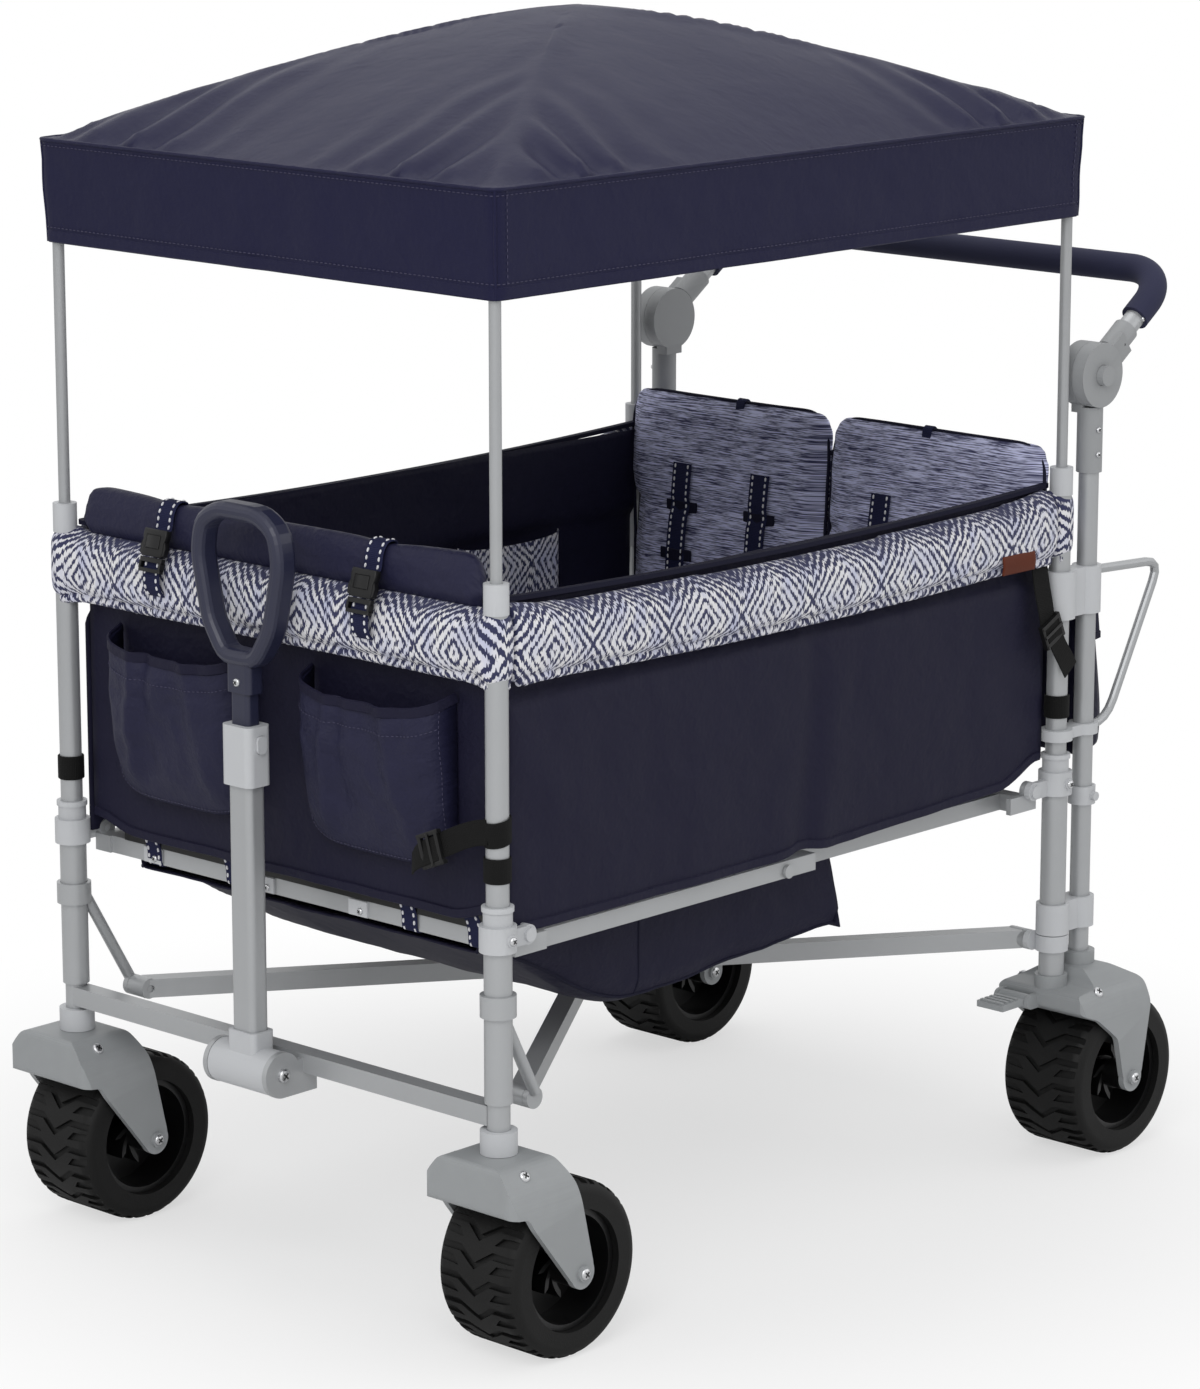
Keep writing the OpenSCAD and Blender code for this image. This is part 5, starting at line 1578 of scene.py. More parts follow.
@dataclass
class Seats:
    """Two seat backs with harness straps, and their cushions."""

    width: float = 289.0
    foot: float = SEAT_FOOT
    tall: float = SEAT_TALL
    start: float = 1.5
    corner: float = 26.0
    strap_y: tuple[float, ...] = (88.0, 205.0)
    strap_top: float = 722.0
    strap_run: float = 184.0
    keeper_z: tuple[float, ...] = (672.0, 618.0)
    cushion_x: Pair = (67.0, 356.0)
    cushion_wide: float = 274.0
    cushion_seams: tuple[float, ...] = (0.34, 0.67)
    fill: Swell = Swell(voxel=0.006, cap=0.009)
    seams: tuple[float, ...] = (0.30, 0.62)

    def build(self) -> None:
        """Makes both seats."""
        for side, name in SIDES[::-1]:
            back = self.back(side, name)
            self.harness(back, side, name)
            self.cushion(side, name)

    def back(self, side: int, name: str) -> Piece:
        """Seat back with sewn channels and piping.

        Args:
            side, name: The side as sign and word.

        Returns:
            The seat back.
        """
        w, h, r = self.width - 3, self.tall, self.corner

        def drop(u: float) -> float:
            """How far a top corner is rounded off."""
            return rounded(w / 2 * abs(2 * u - 1) - (w / 2 - r), r)

        def low(u: float, v: float) -> Vector:
            """Point of the rear face."""
            z = self.foot + 4 + v * (h - drop(u))
            return tub(seat_rear(z) - 1, side * (self.start + 1.5 + (w + self.flare(z)) * u), z)

        def high(u: float, v: float) -> Vector:
            """Point of the front face."""
            full = pillow(u, v, 7, 5)
            return low(u, v) - Vector((5 + (18 - 14 * v) * full, 0, 0)) * MM

        back = MeshBuffer().skin(40, 44, high, low).build(f"seat_back_{name}")
        front = (SEAT_X - 41) * MM + SHIFT

        def hold(rows: np.ndarray) -> np.ndarray:
            """Keeps the filled piece in its room.

            Args:
                rows: Rows of positions.

            Returns:
                The kept positions.
            """
            rows = rows.copy()
            rear = np.array([seat_rear(z / MM) * MM for z in rows[:, 2]]) + SHIFT
            rows[:, 0] = np.clip(rows[:, 0], front, rear)
            wide = np.array([self.width + self.flare(z / MM) for z in rows[:, 2]]) * MM
            begin, top = self.start * MM, (self.foot + self.tall) * MM
            across = side * rows[:, 1]
            waist = across[np.abs(rows[:, 2] - top + self.tall / 2 * MM) < 0.05]
            across = np.clip(stretch(across, waist, begin, begin + self.width * MM), begin, begin + wide)
            column = rows[np.abs(across - begin - self.width / 2 * MM) < 0.05, 2]
            tall = stretch(rows[:, 2], column, self.foot * MM, top)
            gap = across - begin - wide / 2
            over, up = np.maximum(np.abs(gap) - wide / 2 + r * MM, 0), np.maximum(tall - top + r * MM, 0)
            pull = np.minimum(1.0, r * MM / np.maximum(np.hypot(over, up), 1e-9))
            rows[:, 1] = side * (begin + wide / 2 + gap - np.sign(gap) * over * (1 - pull))
            rows[:, 2] = tall - up * (1 - pull)
            return rows

        self.fill.fill(back, hold)
        rows = coordinates(back.data)
        z0, z1 = self.foot * MM, (self.foot + self.tall) * MM
        for row in rows:
            if row[0] < tub(seat_rear(row[2] / MM) - 4, 0, 0).x:
                t = (row[2] - z0) / (z1 - z0)
                groove = sum(bell(t - s, 0.017) for s in self.seams)
                row[0] += 0.004 * groove + 0.0014 * wander(row[1] * 18.0, row[2] * 14.0, side)
        place_vertices(back.data, rows)
        map_cloth(back, lambda c: np.stack([c[:, 1] + c[:, 0], c[:, 2]], 1))
        settle(back, SEAT, Body.REAR, "seat_backs")
        fold_seat(back)
        self.piping(back, side, name)
        return back

    def flare(self, z: float) -> float:
        """How much wider the seat back is above the rails."""
        return 13.0 * ease((z - 655.0) / 60.0)

    def piping(self, back: Piece, side: int, name: str) -> None:
        """Piping round the seat back's front edge, and the loop on its top.

        Args:
            back: The seat back.
            side, name: The side as sign and word.
        """
        ring, count = [], 96
        for k in range(count):
            a = 2 * math.pi * k / count
            z = self.foot + self.tall / 2 + 0.5 * (self.tall - 6) * self.squared(math.sin(a), 9)
            wide = self.width + self.flare(z)
            y = side * (self.start + wide / 2) + 0.5 * (wide - 6) * self.squared(math.cos(a), 9)
            spot = tub(seat_rear(z) - 8, y, z)
            _, near, _, _ = back.closest_point_on_mesh(spot)
            ring.append(Vector((spot.x, near.y, near.z)))
        ring = [(ring[k - 1] + ring[k] * 2 + ring[(k + 1) % count]) / 4 for k in range(count)]
        heart = sum(ring, Vector()) / count
        ring = [p + (p - heart).normalized() * 0.0009 for p in ring]
        cord = MeshBuffer().sweep(ring, ALONG, disc(0.0019, 8), closed=True).build(f"seat_piping_{name}")
        settle(cord, PIPING, Body.REAR)
        y, x = side * self.width * 0.47, seat_rear(self.foot + self.tall)
        top = max(v.co.z for v in back.data.vertices if abs(v.co.y - y * MM) < 0.008) / MM
        path = [tub(x - dx, y, top - dz) for dx, dz in ((1, 10), (1, 1), (6, -3), (11, 0), (13, 10))]
        tab = MeshBuffer().sweep(curve_points(path, 4), ACROSS, flat_section(0.013, CLOTH))
        loop = settle(tab.build(f"seat_tab_{name}"), NAVY_WEB, Body.REAR)
        fold_seat(cord, loop)

    @staticmethod
    def squared(value: float, power: float) -> float:
        """Pulls a cosine towards the corners of a square."""
        return math.copysign(abs(value) ** (2 / power), value)

    def harness(self, back: Piece, side: int, name: str) -> None:
        """Shoulder straps with keepers and white stitching on one seat back.

        Args:
            back: The seat back.
            side, name: The side as sign and word.
        """
        straps, keepers, sewing = MeshBuffer(), MeshBuffer(), MeshBuffer()
        for spread in self.strap_y:
            y, path = side * spread, []
            for i in range(25):
                z = self.strap_top - self.strap_run * i / 24
                place = cast(back, tub(300, y, z), ALONG)
                path.append(place - Vector((0.0022 + 0.002 * math.sin(math.pi * i / 24), 0, 0)))
            straps.sweep(path, ACROSS, flat_section(0.028, HEAVY_CLOTH))
            for edge in (-0.0095, 0.0095):
                sewing.stitches([p + Vector((-0.0011, edge, 0)) for p in path], *BOLD_STITCH)
            for z in self.keeper_z:
                line = []
                for i in range(9):
                    spot = y + 46.0 * (i / 8 - 0.5)
                    place = cast(back, tub(300, spot, z), ALONG)
                    lift = 0.0042 * bell(spot - y, 15.0) + 0.0018
                    line.append(place - Vector((lift, 0, 0)))
                keepers.sweep(line, UP, flat_section(0.013, CLOTH))
        for buffer, part, finish, nodes in (
            (straps, "straps", NAVY_WEB, ("harness_straps",)),
            (keepers, "keepers", PIPING, ()),
            (sewing, "stitching", THREAD, ()),
        ):
            fold_seat(settle(buffer.build(f"harness_{part}_{name}"), finish, Body.REAR, *nodes))

    def cushion(self, side: int, name: str) -> None:
        """Seat cushion on the rear floor board.

        Args:
            side, name: The side as sign and word.
        """
        (x0, x1), w = self.cushion_x, self.cushion_wide

        def low(u: float, v: float) -> Vector:
            """Point of the underside."""
            return tub(x0 + (x1 - x0) * u, side * (7 + w * v), BOARD_TOP + 0.5)

        def high(u: float, v: float) -> Vector:
            """Point of the top."""
            full = pillow(u, v, 6, 6)
            return low(u, v) + Vector((0, 0, 8 + 24 * full)) * MM

        pad = MeshBuffer().skin(40, 40, high, low).build(f"seat_cushion_{name}")
        floor = (BOARD_TOP + 0.4) * MM

        def hold(rows: np.ndarray) -> np.ndarray:
            """Keeps the filled piece in its room.

            Args:
                rows: Rows of positions.

            Returns:
                The kept positions.
            """
            rows = rows.copy()
            rows[:, 2] = np.clip(rows[:, 2], floor, floor + 0.0405)
            lo, hi = sorted((side * 3.0 * MM, side * 285.0 * MM))
            rows[:, 1] = np.clip(rows[:, 1], lo, hi)
            return rows

        self.fill.fill(pad, hold)
        rows = coordinates(pad.data)
        start, end = tub(x0, 0, 0).x, tub(x1, 0, 0).x
        for row in rows:
            if row[2] > floor + 0.012:
                t = (row[0] - start) / (end - start)
                row[2] -= 0.006 * sum(bell(t - s, 0.02) for s in self.cushion_seams)
        place_vertices(pad.data, rows)
        map_cloth(pad, lambda c: np.stack([c[:, 1], c[:, 0] + c[:, 2]], 1))
        settle(pad, SEAT, Body.FLOOR_REAR, "seat_cushions")
        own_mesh(pad)


@dataclass
class FrontEnd:
    """Pockets, padded flap and its straps on the front wall."""

    pocket_wide: float = 200.0
    pocket_tall: float = 174.0
    pocket_foot: float = 480.0
    pocket_depth: float = 38.0
    pocket_place: float = 142.0
    flap_tall: float = 168.0
    flap_corner: float = 34.0
    flap_lean: float = 25.0
    strap_place: float = 150.0
    fill: Swell = Swell(voxel=0.006, cap=0.008)

    def build(self) -> None:
        """Makes the pieces of the front end."""
        for side, name in SIDES:
            self.pocket(side, name)
        flap = self.flap()
        for side, name in SIDES:
            self.flap_strap(flap, side, name)

    def pocket(self, side: int, name: str) -> None:
        """Gathered pocket with a deep hem.

        Args:
            side, name: The side as sign and word.
        """
        w, foot, tall, depth = self.pocket_wide, self.pocket_foot, self.pocket_tall, self.pocket_depth
        middle = side * self.pocket_place

        def face(u: float, v: float) -> Vector:
            """Point of the pouch.

            Args:
                u, v: Shares along and up.

            Returns:
                The point.
            """
            side_on = abs(2 * u - 1)
            y = middle + w * (0.5 - u)
            belly = crown(u, 8) * math.sin(math.pi * (0.04 + 0.62 * v)) ** 0.6
            fold = 7.0 * bell(u - 0.2 - 0.1 * v, 0.05) - 6.5 * bell(u - 0.33, 0.05) * v
            fold += 6.0 * bell(u - 0.8 + 0.12 * v, 0.06)
            slack = 6.0 * wander(u * 4.0 + side, v * 3.0, 12.0) + 2.6 * wander(u * 10.0, v * 8.0, 14.0 + side)
            lip = 18.0 * crown(u, 3) * ease((v - 0.5) / 0.5)
            round_up = 24.0 * side_on**5 * (1 - v)
            x = -POST_X + WALL_IN - 1.2 - depth * belly - (fold + slack) * crown(u, 5) * ease(v * 5)
            return tub(min(x, -POST_X + WALL_IN - 1.2), y, foot + round_up + tall * v - lip)

        pouch = MeshBuffer().grid(44, 36, face, (w * MM * 1.15, tall * MM)).build(f"front_pocket_{name}")
        if sum(p.normal.x for p in pouch.data.polygons) > 0:
            pouch.data.flip_normals()
        thicken(pouch, CLOTH)
        # The pocket takes the lighter navy: painted light.
        settle(pouch, LIT_NAVY, Body.FRONT, "front_pockets")
        out = Vector((-0.0006, 0, 0))
        lip = [face(i / 44, 0.985) + out for i in range(45)]
        band = MeshBuffer().sweep(lip, UP, flat_section(0.011, 0.0034))
        rim = settle(band.build(f"front_pocket_{name}_hem"), NAVY, Body.FRONT)
        rows = MeshBuffer()
        rows.stitches([face(0.02 + 0.96 * i / 60, 0.83) + out for i in range(61)], *FINE_STITCH)
        for u in (0.018, 0.982):
            rows.stitches([face(u, i / 40) + out * 2 for i in range(41)], *FINE_STITCH)
        rows.stitches([face(i / 60, 0.02) + out * 2 for i in range(61)], *FINE_STITCH)
        sewing = settle(rows.build(f"front_pocket_{name}_stitching"), DARK_THREAD, Body.FRONT)

    def flap(self) -> Piece:
        """Padded flap behind the front rail.

        Returns:
            The flap.
        """
        half, foot, tall = HALF_W - WALL_IN - 6, RIM_Z - 128, self.flap_tall
        x0, r = -POST_X + 24.0, self.flap_corner

        def edge(u: float) -> float:
            """Height of the flap, less at its corners and straps."""
            y = half * abs(2 * u - 1)
            return tall - rounded(y - (half - r), r) - 3.0 * bell(y - self.strap_place, 30.0)

        def lean(z: float) -> float:
            """How far the flap leans over the rail."""
            return self.flap_lean * ease((z - RIM_Z + 34.0) / 36.0)

        def low(u: float, v: float) -> Vector:
            """Point of the front face."""
            z = foot + edge(u) * v
            return tub(x0 - lean(z), half * (2 * u - 1), z)

        def high(u: float, v: float) -> Vector:
            """Point of the rear face."""
            full = pillow(u, v, 8, 4)
            return low(u, v) + Vector((5 + 17 * full, 0, 0)) * MM

        flap = MeshBuffer().skin(70, 24, high, low).build("front_flap_pad")
        rear, front = tub(x0 - 0.7, 0, 0).x, tub(x0 + 30, 0, 0).x

        def hold(rows: np.ndarray) -> np.ndarray:
            """Keeps the filled piece in its room.

            Args:
                rows: Rows of positions.

            Returns:
                The kept positions.
            """
            rows = rows.copy()
            rows[:, 1] = stretch(rows[:, 1], rows[:, 1], -half * MM, half * MM)
            rows[:, 2] = stretch(rows[:, 2], rows[:, 2], foot * MM, (foot + tall) * MM)
            back = np.array([lean(z / MM) * MM for z in rows[:, 2]])
            rows[:, 0] = np.clip(rows[:, 0], rear - back, front)
            return rows

        self.fill.fill(flap, hold)
        map_cloth(flap, lambda c: np.stack([c[:, 1], c[:, 2] + c[:, 0]], 1))
        # The flap takes the lighter navy: painted light.
        settle(flap, LIT_NAVY, Body.FRONT, "front_flap")
        return flap

    def flap_strap(self, flap: Piece, side: int, name: str) -> None:
        """Webbing from the flap over the rail, with its side-release buckle.

        Args:
            flap: The flap.
            side, name: The side as sign and word.
        """
        y = side * self.strap_place
        top = max(v.co.z for v in flap.data.vertices if abs(v.co.y - y * MM) < 0.01) / MM
        over = [(-416, -6), (-420, 2), (-431, 2), (-438, -8), (-441, -22)]
        knots = [*((x, top + dz) for x, dz in over), (-446, 764), (-450, 754)]
        path = curve_points([tub(x, y, z) for x, z in knots], 6)
        strap, sewing, hard = MeshBuffer(), MeshBuffer(), MeshBuffer()
        strap.sweep(path, ACROSS, WEBBING)
        loose = ((-456, 738), (-459, 728), (-460, 718), (-458, 709), (-453, 702))
        tail = curve_points([tub(x, y, z) for x, z in loose], 5)
        strap.sweep(tail, ACROSS, WEBBING)
        for line in (path, tail):
            outward = []
            for i, p in enumerate(line):
                t = (line[min(i + 1, len(line) - 1)] - line[max(i - 1, 0)]).normalized()
                outward.append(p + Vector(ACROSS).cross(t) * 0.0013)
            for edge in (-0.0085, 0.0085):
                sewing.stitches([p + Vector((0, edge, 0)) for p in outward], *BOLD_STITCH)
        self.buckle(hard, tub(-454, y, 750), Vector((0.30, 0, 1)).normalized())
        settle(strap.build(f"flap_strap_{name}"), NAVY_WEB, Body.FRONT, "flap_straps")
        settle(sewing.build(f"flap_strap_{name}_stitching"), THREAD, Body.FRONT)
        settle(hard.build(f"flap_buckle_{name}"), BLACK, Body.FRONT)

    @staticmethod
    def buckle(buffer: MeshBuffer, centre: Vector, up: Vector) -> None:
        """Side-release buckle: a waisted socket, two prongs and a slotted bar.

        Args:
            buffer: Piece that takes it.
            centre, up: Its middle and direction.
        """
        across = Vector(ACROSS)
        out = up.cross(across).normalized()

        def block(outline: Sequence[Pair], back: float, front: float) -> None:
            """Adds a plate with eased edges.

            Args:
                outline: Its corners.
                back, front: Depths of its faces.
            """
            n = len(outline)
            mid = (sum(a for a, _ in outline) / n, sum(b for _, b in outline) / n)
            layers = ((back, 0.96), (back + 0.8, 1.0), (front - 1.2, 1.0), (front - 0.4, 0.965), (front, 0.9))
            rings = []
            for depth, k in layers:
                for a, b in outline:
                    wide, high = mid[0] + (a - mid[0]) * k, mid[1] + (b - mid[1]) * k
                    rings.append(centre + across * wide * MM + up * high * MM + out * depth * MM)
            faces = [
                (r * n + i, r * n + (i + 1) % n, (r + 1) * n + (i + 1) % n, (r + 1) * n + i)
                for r in range(4) for i in range(n)
            ]
            faces += [tuple(range(n - 1, -1, -1)), tuple(range(4 * n, 5 * n))]
            buffer.add(rings, faces)

        flank = [(16, 20), (17, 14), (15, 6), (15.5, -4), (14, -8)]
        block([*((-a, b) for a, b in flank), *flank[::-1]], -4.0, 4.2)
        block([(-10, 14), (-10, 0), (10, 0), (10, 14)], 4.0, 5.0)
        for s in (-1, 1):
            prong = [(s * 14.5, -7), (s * 17.5, -6), (s * 18.6, 2), (s * 16.6, 8), (s * 15, 8)]
            block(prong if s > 0 else prong[::-1], -2.6, 3.0)
        block([(-16, -9), (-16, -14), (16, -14), (16, -9)], -3.0, 3.2)
        block([(-16, -20), (-16, -24), (16, -24), (16, -20)], -3.0, 3.0)
        for s in (-1, 1):
            bar = [(s * 12.8, -13), (s * 16, -13), (s * 16, -21), (s * 12.8, -21)]
            block(bar if s < 0 else bar[::-1], -3.0, 3.0)


@dataclass
class Storage:
    """Basket under the floor, bag behind the tub and the pocket inside it."""

    basket_half: float = 247.0
    basket_top: float = 401.0
    basket_x: Triple = (-396.0, -165.0, 128.0)
    basket_flare: float = 24.0
    bag_tall: float = 186.0
    pocket_x: Pair = (120.0, 282.0)
    pocket_foot: float = 556.0
    pocket_tall: float = 95.0

    def build(self) -> None:
        """Makes the storage pieces."""
        self.basket()
        self.bag()
        self.inner_pocket()

    def basket(self) -> None:
        """Hung basket: one sheet under the floor rails, with a closed rear end."""
        half, top = self.basket_half, self.basket_top
        nose, knee, tail = self.basket_x

        def depth(x: float) -> float:
            """Depth of the trough at a place along the wagon."""
            rising = 9.0 + 97.0 * ease((x - nose) / (knee - nose)) ** 0.85
            return rising if x < knee else 106.0 - 14.0 * ease((x - knee) / (tail - knee))

        def trough(u: float, v: float) -> Vector:
            """Point of the trough.

            Args:
                u, v: Shares along and round it.

            Returns:
                The point.
            """
            x = nose + (tail - nose) * u
            deep = depth(x)
            run = v * (2 * deep + 2 * half) - deep
            bend = min(22.0, deep * 0.4)
            if run < 0:
                y, z = -half, top - (deep + run)
            elif run > 2 * half:
                y, z = half, top - deep + (run - 2 * half)
            else:
                y, z = run - half, top - deep
            a, b = half - abs(y), z - (top - deep)
            if max(a, b) < bend:
                cut = 0.3 * (bend - max(a, b))
                y, z = math.copysign(abs(y) - cut, y), z + cut
            low = (top - z) / max(deep, 1.0)
            sag = 5.0 * crown(0.5 + y / half / 2.02, 2) * ease((u - 0.1) / 0.3) if abs(y) < half - 2 else 0.0
            slack = 2.4 * wander(x * 0.014, (y + z) * 0.014, 21.0) + wander(x * 0.04, (y - z) * 0.04, 23.0)
            wave = 4.0 * math.sin(x * 0.03 + 1.0) * low * (1 - low)
            inward = (slack + wave) * ease(low * 3)
            flare = self.basket_flare * low * ease((x - 40.0) / 90.0)
            y -= math.copysign(max(0.0, inward + 1.0), y)
            return tub(x + flare, y, z - sag + 0.8 * slack * ease(low * 2))

        def end(u: float, v: float) -> Vector:
            """Point of the closed end.

            Args:
                u, v: Shares along and up.

            Returns:
                The point.
            """
            y = (half - 1.5) * (2 * u - 1)
            z = top - depth(tail) * (1 - v)
            x = tail + self.basket_flare * (1 - v) - 5.0 * crown(u, 4) * crown(v, 2) - 1.0
            return tub(x, y, z + 1.5 * crown(v, 2))

        def share(u: float) -> float:
            """Share of the basket's girth that one side takes."""
            deep = depth(nose + (tail - nose) * u)
            return deep / (2 * deep + 2 * half)

        buffer = MeshBuffer()
        length = (tail - nose) * MM
        buffer.grid(74, 96, trough, (length, 0.7))
        buffer.grid(60, 14, end, (2 * half * MM, 0.092))
        shell = buffer.build("hung_basket_shell")
        thicken(shell, CLOTH, 0.0)
        NAVY.put_on(shell)
        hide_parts("hung_basket")
        seams = MeshBuffer()
        for side in (-1, 1):
            path = [trough(i / 60, 0.5 + side * (0.5 - share(i / 60))) for i in range(61)]
            seams.sweep(path, UP, disc(0.0022, 6))
        bend = (knee - nose) / (tail - nose)
        for side in (-1, 1):
            path = [trough(bend, 0.5 + side * (0.5 - share(bend) * i / 12)) for i in range(13)]
            seams.sweep(path, ALONG, disc(0.0018, 6))
        edging = seams.build("hung_basket_piping")
        PIPING.put_on(edging)
        for piece in (shell, edging):
            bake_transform(piece)
            LOG.info("%s bends across the floor", piece.name)

    def bag(self) -> None:
        """Bag behind the tub, with an overlapping lid."""
        half, foot, tall = HALF_W - 13.0, WALL_Z + 8.0, self.bag_tall
        x0 = HANDLE_X - 1.0

        def low(u: float, v: float) -> Vector:
            """Point of the face on the tub."""
            return tub(x0, half * (2 * u - 1), foot + tall * v)

        def high(u: float, v: float) -> Vector:
            """Point of the outer face.

            Args:
                u, v: Shares along and up.

            Returns:
                The point.
            """
            y = half * (2 * u - 1)
            full = crown(u, 26) ** 0.5 * crown(0.5 * v + 0.14, 4)
            fold = 3.0 * wander(y * 0.012, v * 2.5, 31.0) + 1.6 * math.sin(y * 0.045) * v
            return tub(x0 + 9 + (70 - 28 * v) * full + fold * full, y, foot + tall * v)

        def over(u: float, v: float) -> Vector:
            """Point of the lid."""
            return high(u, 1.0 - 0.32 * v) + Vector((0.003, 0, 0.002 - 0.001 * v))

        bag = MeshBuffer().skin(64, 26, high, low).build("rear_bag_pouch")
        bag.modifiers.new("finer", "SUBSURF").levels = 1
        apply_modifiers(bag)
        map_cloth(bag, lambda c: np.stack([c[:, 1], c[:, 2] + c[:, 0]], 1))
        settle(bag, NAVY, Body.REAR, "rear_bag")
        lid = MeshBuffer().grid(60, 12, over, (2 * half * MM, 0.06)).build("rear_bag_lid")
        thicken(lid, HEAVY_CLOTH, 0.0)
        settle(lid, NAVY, Body.REAR)
        line = [high(i / 60, 0.68) + Vector((0.0035, 0, 0.001)) for i in range(61)]
        edge = MeshBuffer().sweep(line, UP, flat_section(0.009, 0.003))
        trim = settle(edge.build("rear_bag_lid_hem"), PIPING, Body.REAR)

    def inner_pocket(self) -> None:
        """Printed patch pocket on the inside of the far wall."""
        (x0, x1), foot, tall = self.pocket_x, self.pocket_foot, self.pocket_tall

        def face(u: float, v: float) -> Vector:
            """Point of the patch.

            Args:
                u, v: Shares along and up.

            Returns:
                The point.
            """
            x = x0 + (x1 - x0) * u
            y = HALF_W - WALL_IN - 3.2 - 10.0 * crown(u, 4) * ease(v * 1.4)
            lip = 6.0 * crown(u, 2) * ease((v - 0.7) / 0.3)
            return tub(x, y, foot + tall * v - lip)

        patch = MeshBuffer().grid(30, 18, face, ((x1 - x0) * MM, tall * MM)).build("inner_pocket")
        thicken(patch, THIN_CLOTH, 0.0)
        settle(patch, PRINT, Body.REAR)
        fold_away(patch)


@dataclass
class Straps:
    """Webbing round the corner posts, and loops on the front floor tube."""

    post_r: float = 11.5
    front_z: float = 496.0
    buckled_z: float = 534.0
    rear_z: float = 513.0
    loop_y: tuple[float, ...] = (215.0, 95.0, -160.0, -252.0)

    def build(self) -> None:
        """Makes every strap."""
        for side, name in SIDES:
            self.front(side, name)
            self.rear(side, name)
        self.floor_loops()

    def band(self, buffer: MeshBuffer, x: float, y: float, z: float, lean: float = 0.0) -> None:
        """Webbing once round a post.

        Args:
            buffer: Piece that takes it.
            x, y, z, lean: Its middle, and its tilt.
        """
        r, turn = self.post_r + 1.4, [2 * math.pi * k / 28 for k in range(28)]
        path = [tub(x + r * math.cos(a), y + r * math.sin(a), z + lean * math.cos(a)) for a in turn]
        buffer.sweep(path, UP, WEBBING, closed=True)

    def ladder_lock(self, buffer: MeshBuffer, centre: Vector, along: Vector, out: Vector) -> None:
        """Slotted buckle of three bars between two cheeks.

        Args:
            buffer: Piece that takes it.
            centre, along, out: Its middle and directions.
        """
        along, out = along.normalized(), out.normalized()
        across = out.cross(along).normalized()
        for d in (-11.0, 0.0, 11.0):
            ends = [centre + along * d * MM + across * s * MM + out * 0.001 for s in (-16, -8, 0, 8, 16)]
            buffer.sweep(ends, out, flat_section(0.0052, 0.0042) if d else flat_section(0.007, 0.0034))
        for s in (-15.0, 15.0):
            line = [centre + across * s * MM + along * d * MM for d in (-14, -7, 0, 7, 14)]
            buffer.sweep(line, out, flat_section(0.0066, 0.0042))

    def front(self, side: int, name: str) -> None:
        """Band on a front post; the left post has a second one with a buckle and tail.

        Args:
            side, name: The side as sign and word.
        """
        web, hard = MeshBuffer(), MeshBuffer()
        y = side * HALF_W
        self.band(web, -POST_X, y, self.front_z)
        if side > 0:
            settle(web.build(f"front_post_webbing_{name}"), BLACK_WEB, Body.FRONT, "front_straps")
            return
        self.band(web, -POST_X, y, self.buckled_z, 3.0)
        knots = [(-446, 308, 534), (-449, 296, 532), (-452, 280, 526), (-457, 262, 517), (-459, 250, 511)]
        loose = [(-462, 256, 513), (-464, 240, 505), (-462, 228, 498), (-457, 218, 490)]
        for line in (knots, loose):
            path = curve_points([tub(x, side * w, z) for x, w, z in line], 5)
            web.sweep(path, (0.2, 0, 1), WEBBING)
        self.ladder_lock(hard, tub(-461, side * 248, 510), Vector((-0.1, -side, -0.42)), Vector((-1, 0, 0.1)))
        settle(web.build(f"front_post_webbing_{name}"), BLACK_WEB, Body.FRONT, "front_straps")
        settle(hard.build(f"front_post_buckle_{name}"), BLACK, Body.FRONT)

    def rear(self, side: int, name: str) -> None:
        """Band on a rear post, and the strap that hangs from the rail with its buckle.

        Args:
            side, name: The side as sign and word.
        """
        web, hard = MeshBuffer(), MeshBuffer()
        y = side * HALF_W
        self.band(web, POST_X, y, self.rear_z)
        knots = [(396, 312, 672), (395, 317, 650), (395, 322, 630), (397, 325, 608)]
        loose = [(397, 328, 612), (408, 330, 588), (420, 331, 570), (431, 330, 556)]
        for line, lean in ((knots, 0.35), (loose, 0.4)):
            path = curve_points([tub(x, side * w, z) for x, w, z in line], 5)
            web.sweep(path, (0.9, 0, lean), WEBBING)
        self.ladder_lock(hard, tub(400, side * 327.5, 603), Vector((0.45, 0, -1)), Vector((0, side, 0.1)))
        settle(web.build(f"rear_post_webbing_{name}"), BLACK_WEB, Body.REAR, "rear_straps")
        settle(hard.build(f"rear_post_buckle_{name}"), BLACK, Body.REAR)

    def floor_loops(self) -> None:
        """Navy loops that tie the front wall to the front floor tube."""
        web, sewing = MeshBuffer(), MeshBuffer()
        x, z, r = -394.0, FLOOR_Z, 10.4
        knots = [
            (x - r - 9, z + 26), (x - r - 3, z + 14), (x - r - 0.5, z + 4),
            (x - r, z - 6), (x - r + 3, z - r), (x, z - r - 0.6),
            (x + r - 3, z - r), (x + r, z - 4), (x + r, z + 6),
        ]
        for y in self.loop_y:
            path = curve_points([tub(a, y, b) for a, b in knots], 4)
            web.sweep(path, ACROSS, flat_section(0.022, CLOTH))
            for edge in (-0.0075, 0.0075):
                sewing.stitches([p + Vector((-0.0012, edge, 0)) for p in path[:18]], *BOLD_STITCH)
        settle(web.build("floor_tube_loops"), NAVY_WEB, Body.FLOOR_FRONT)
        settle(sewing.build("floor_tube_loop_stitching"), THREAD, Body.FLOOR_FRONT)


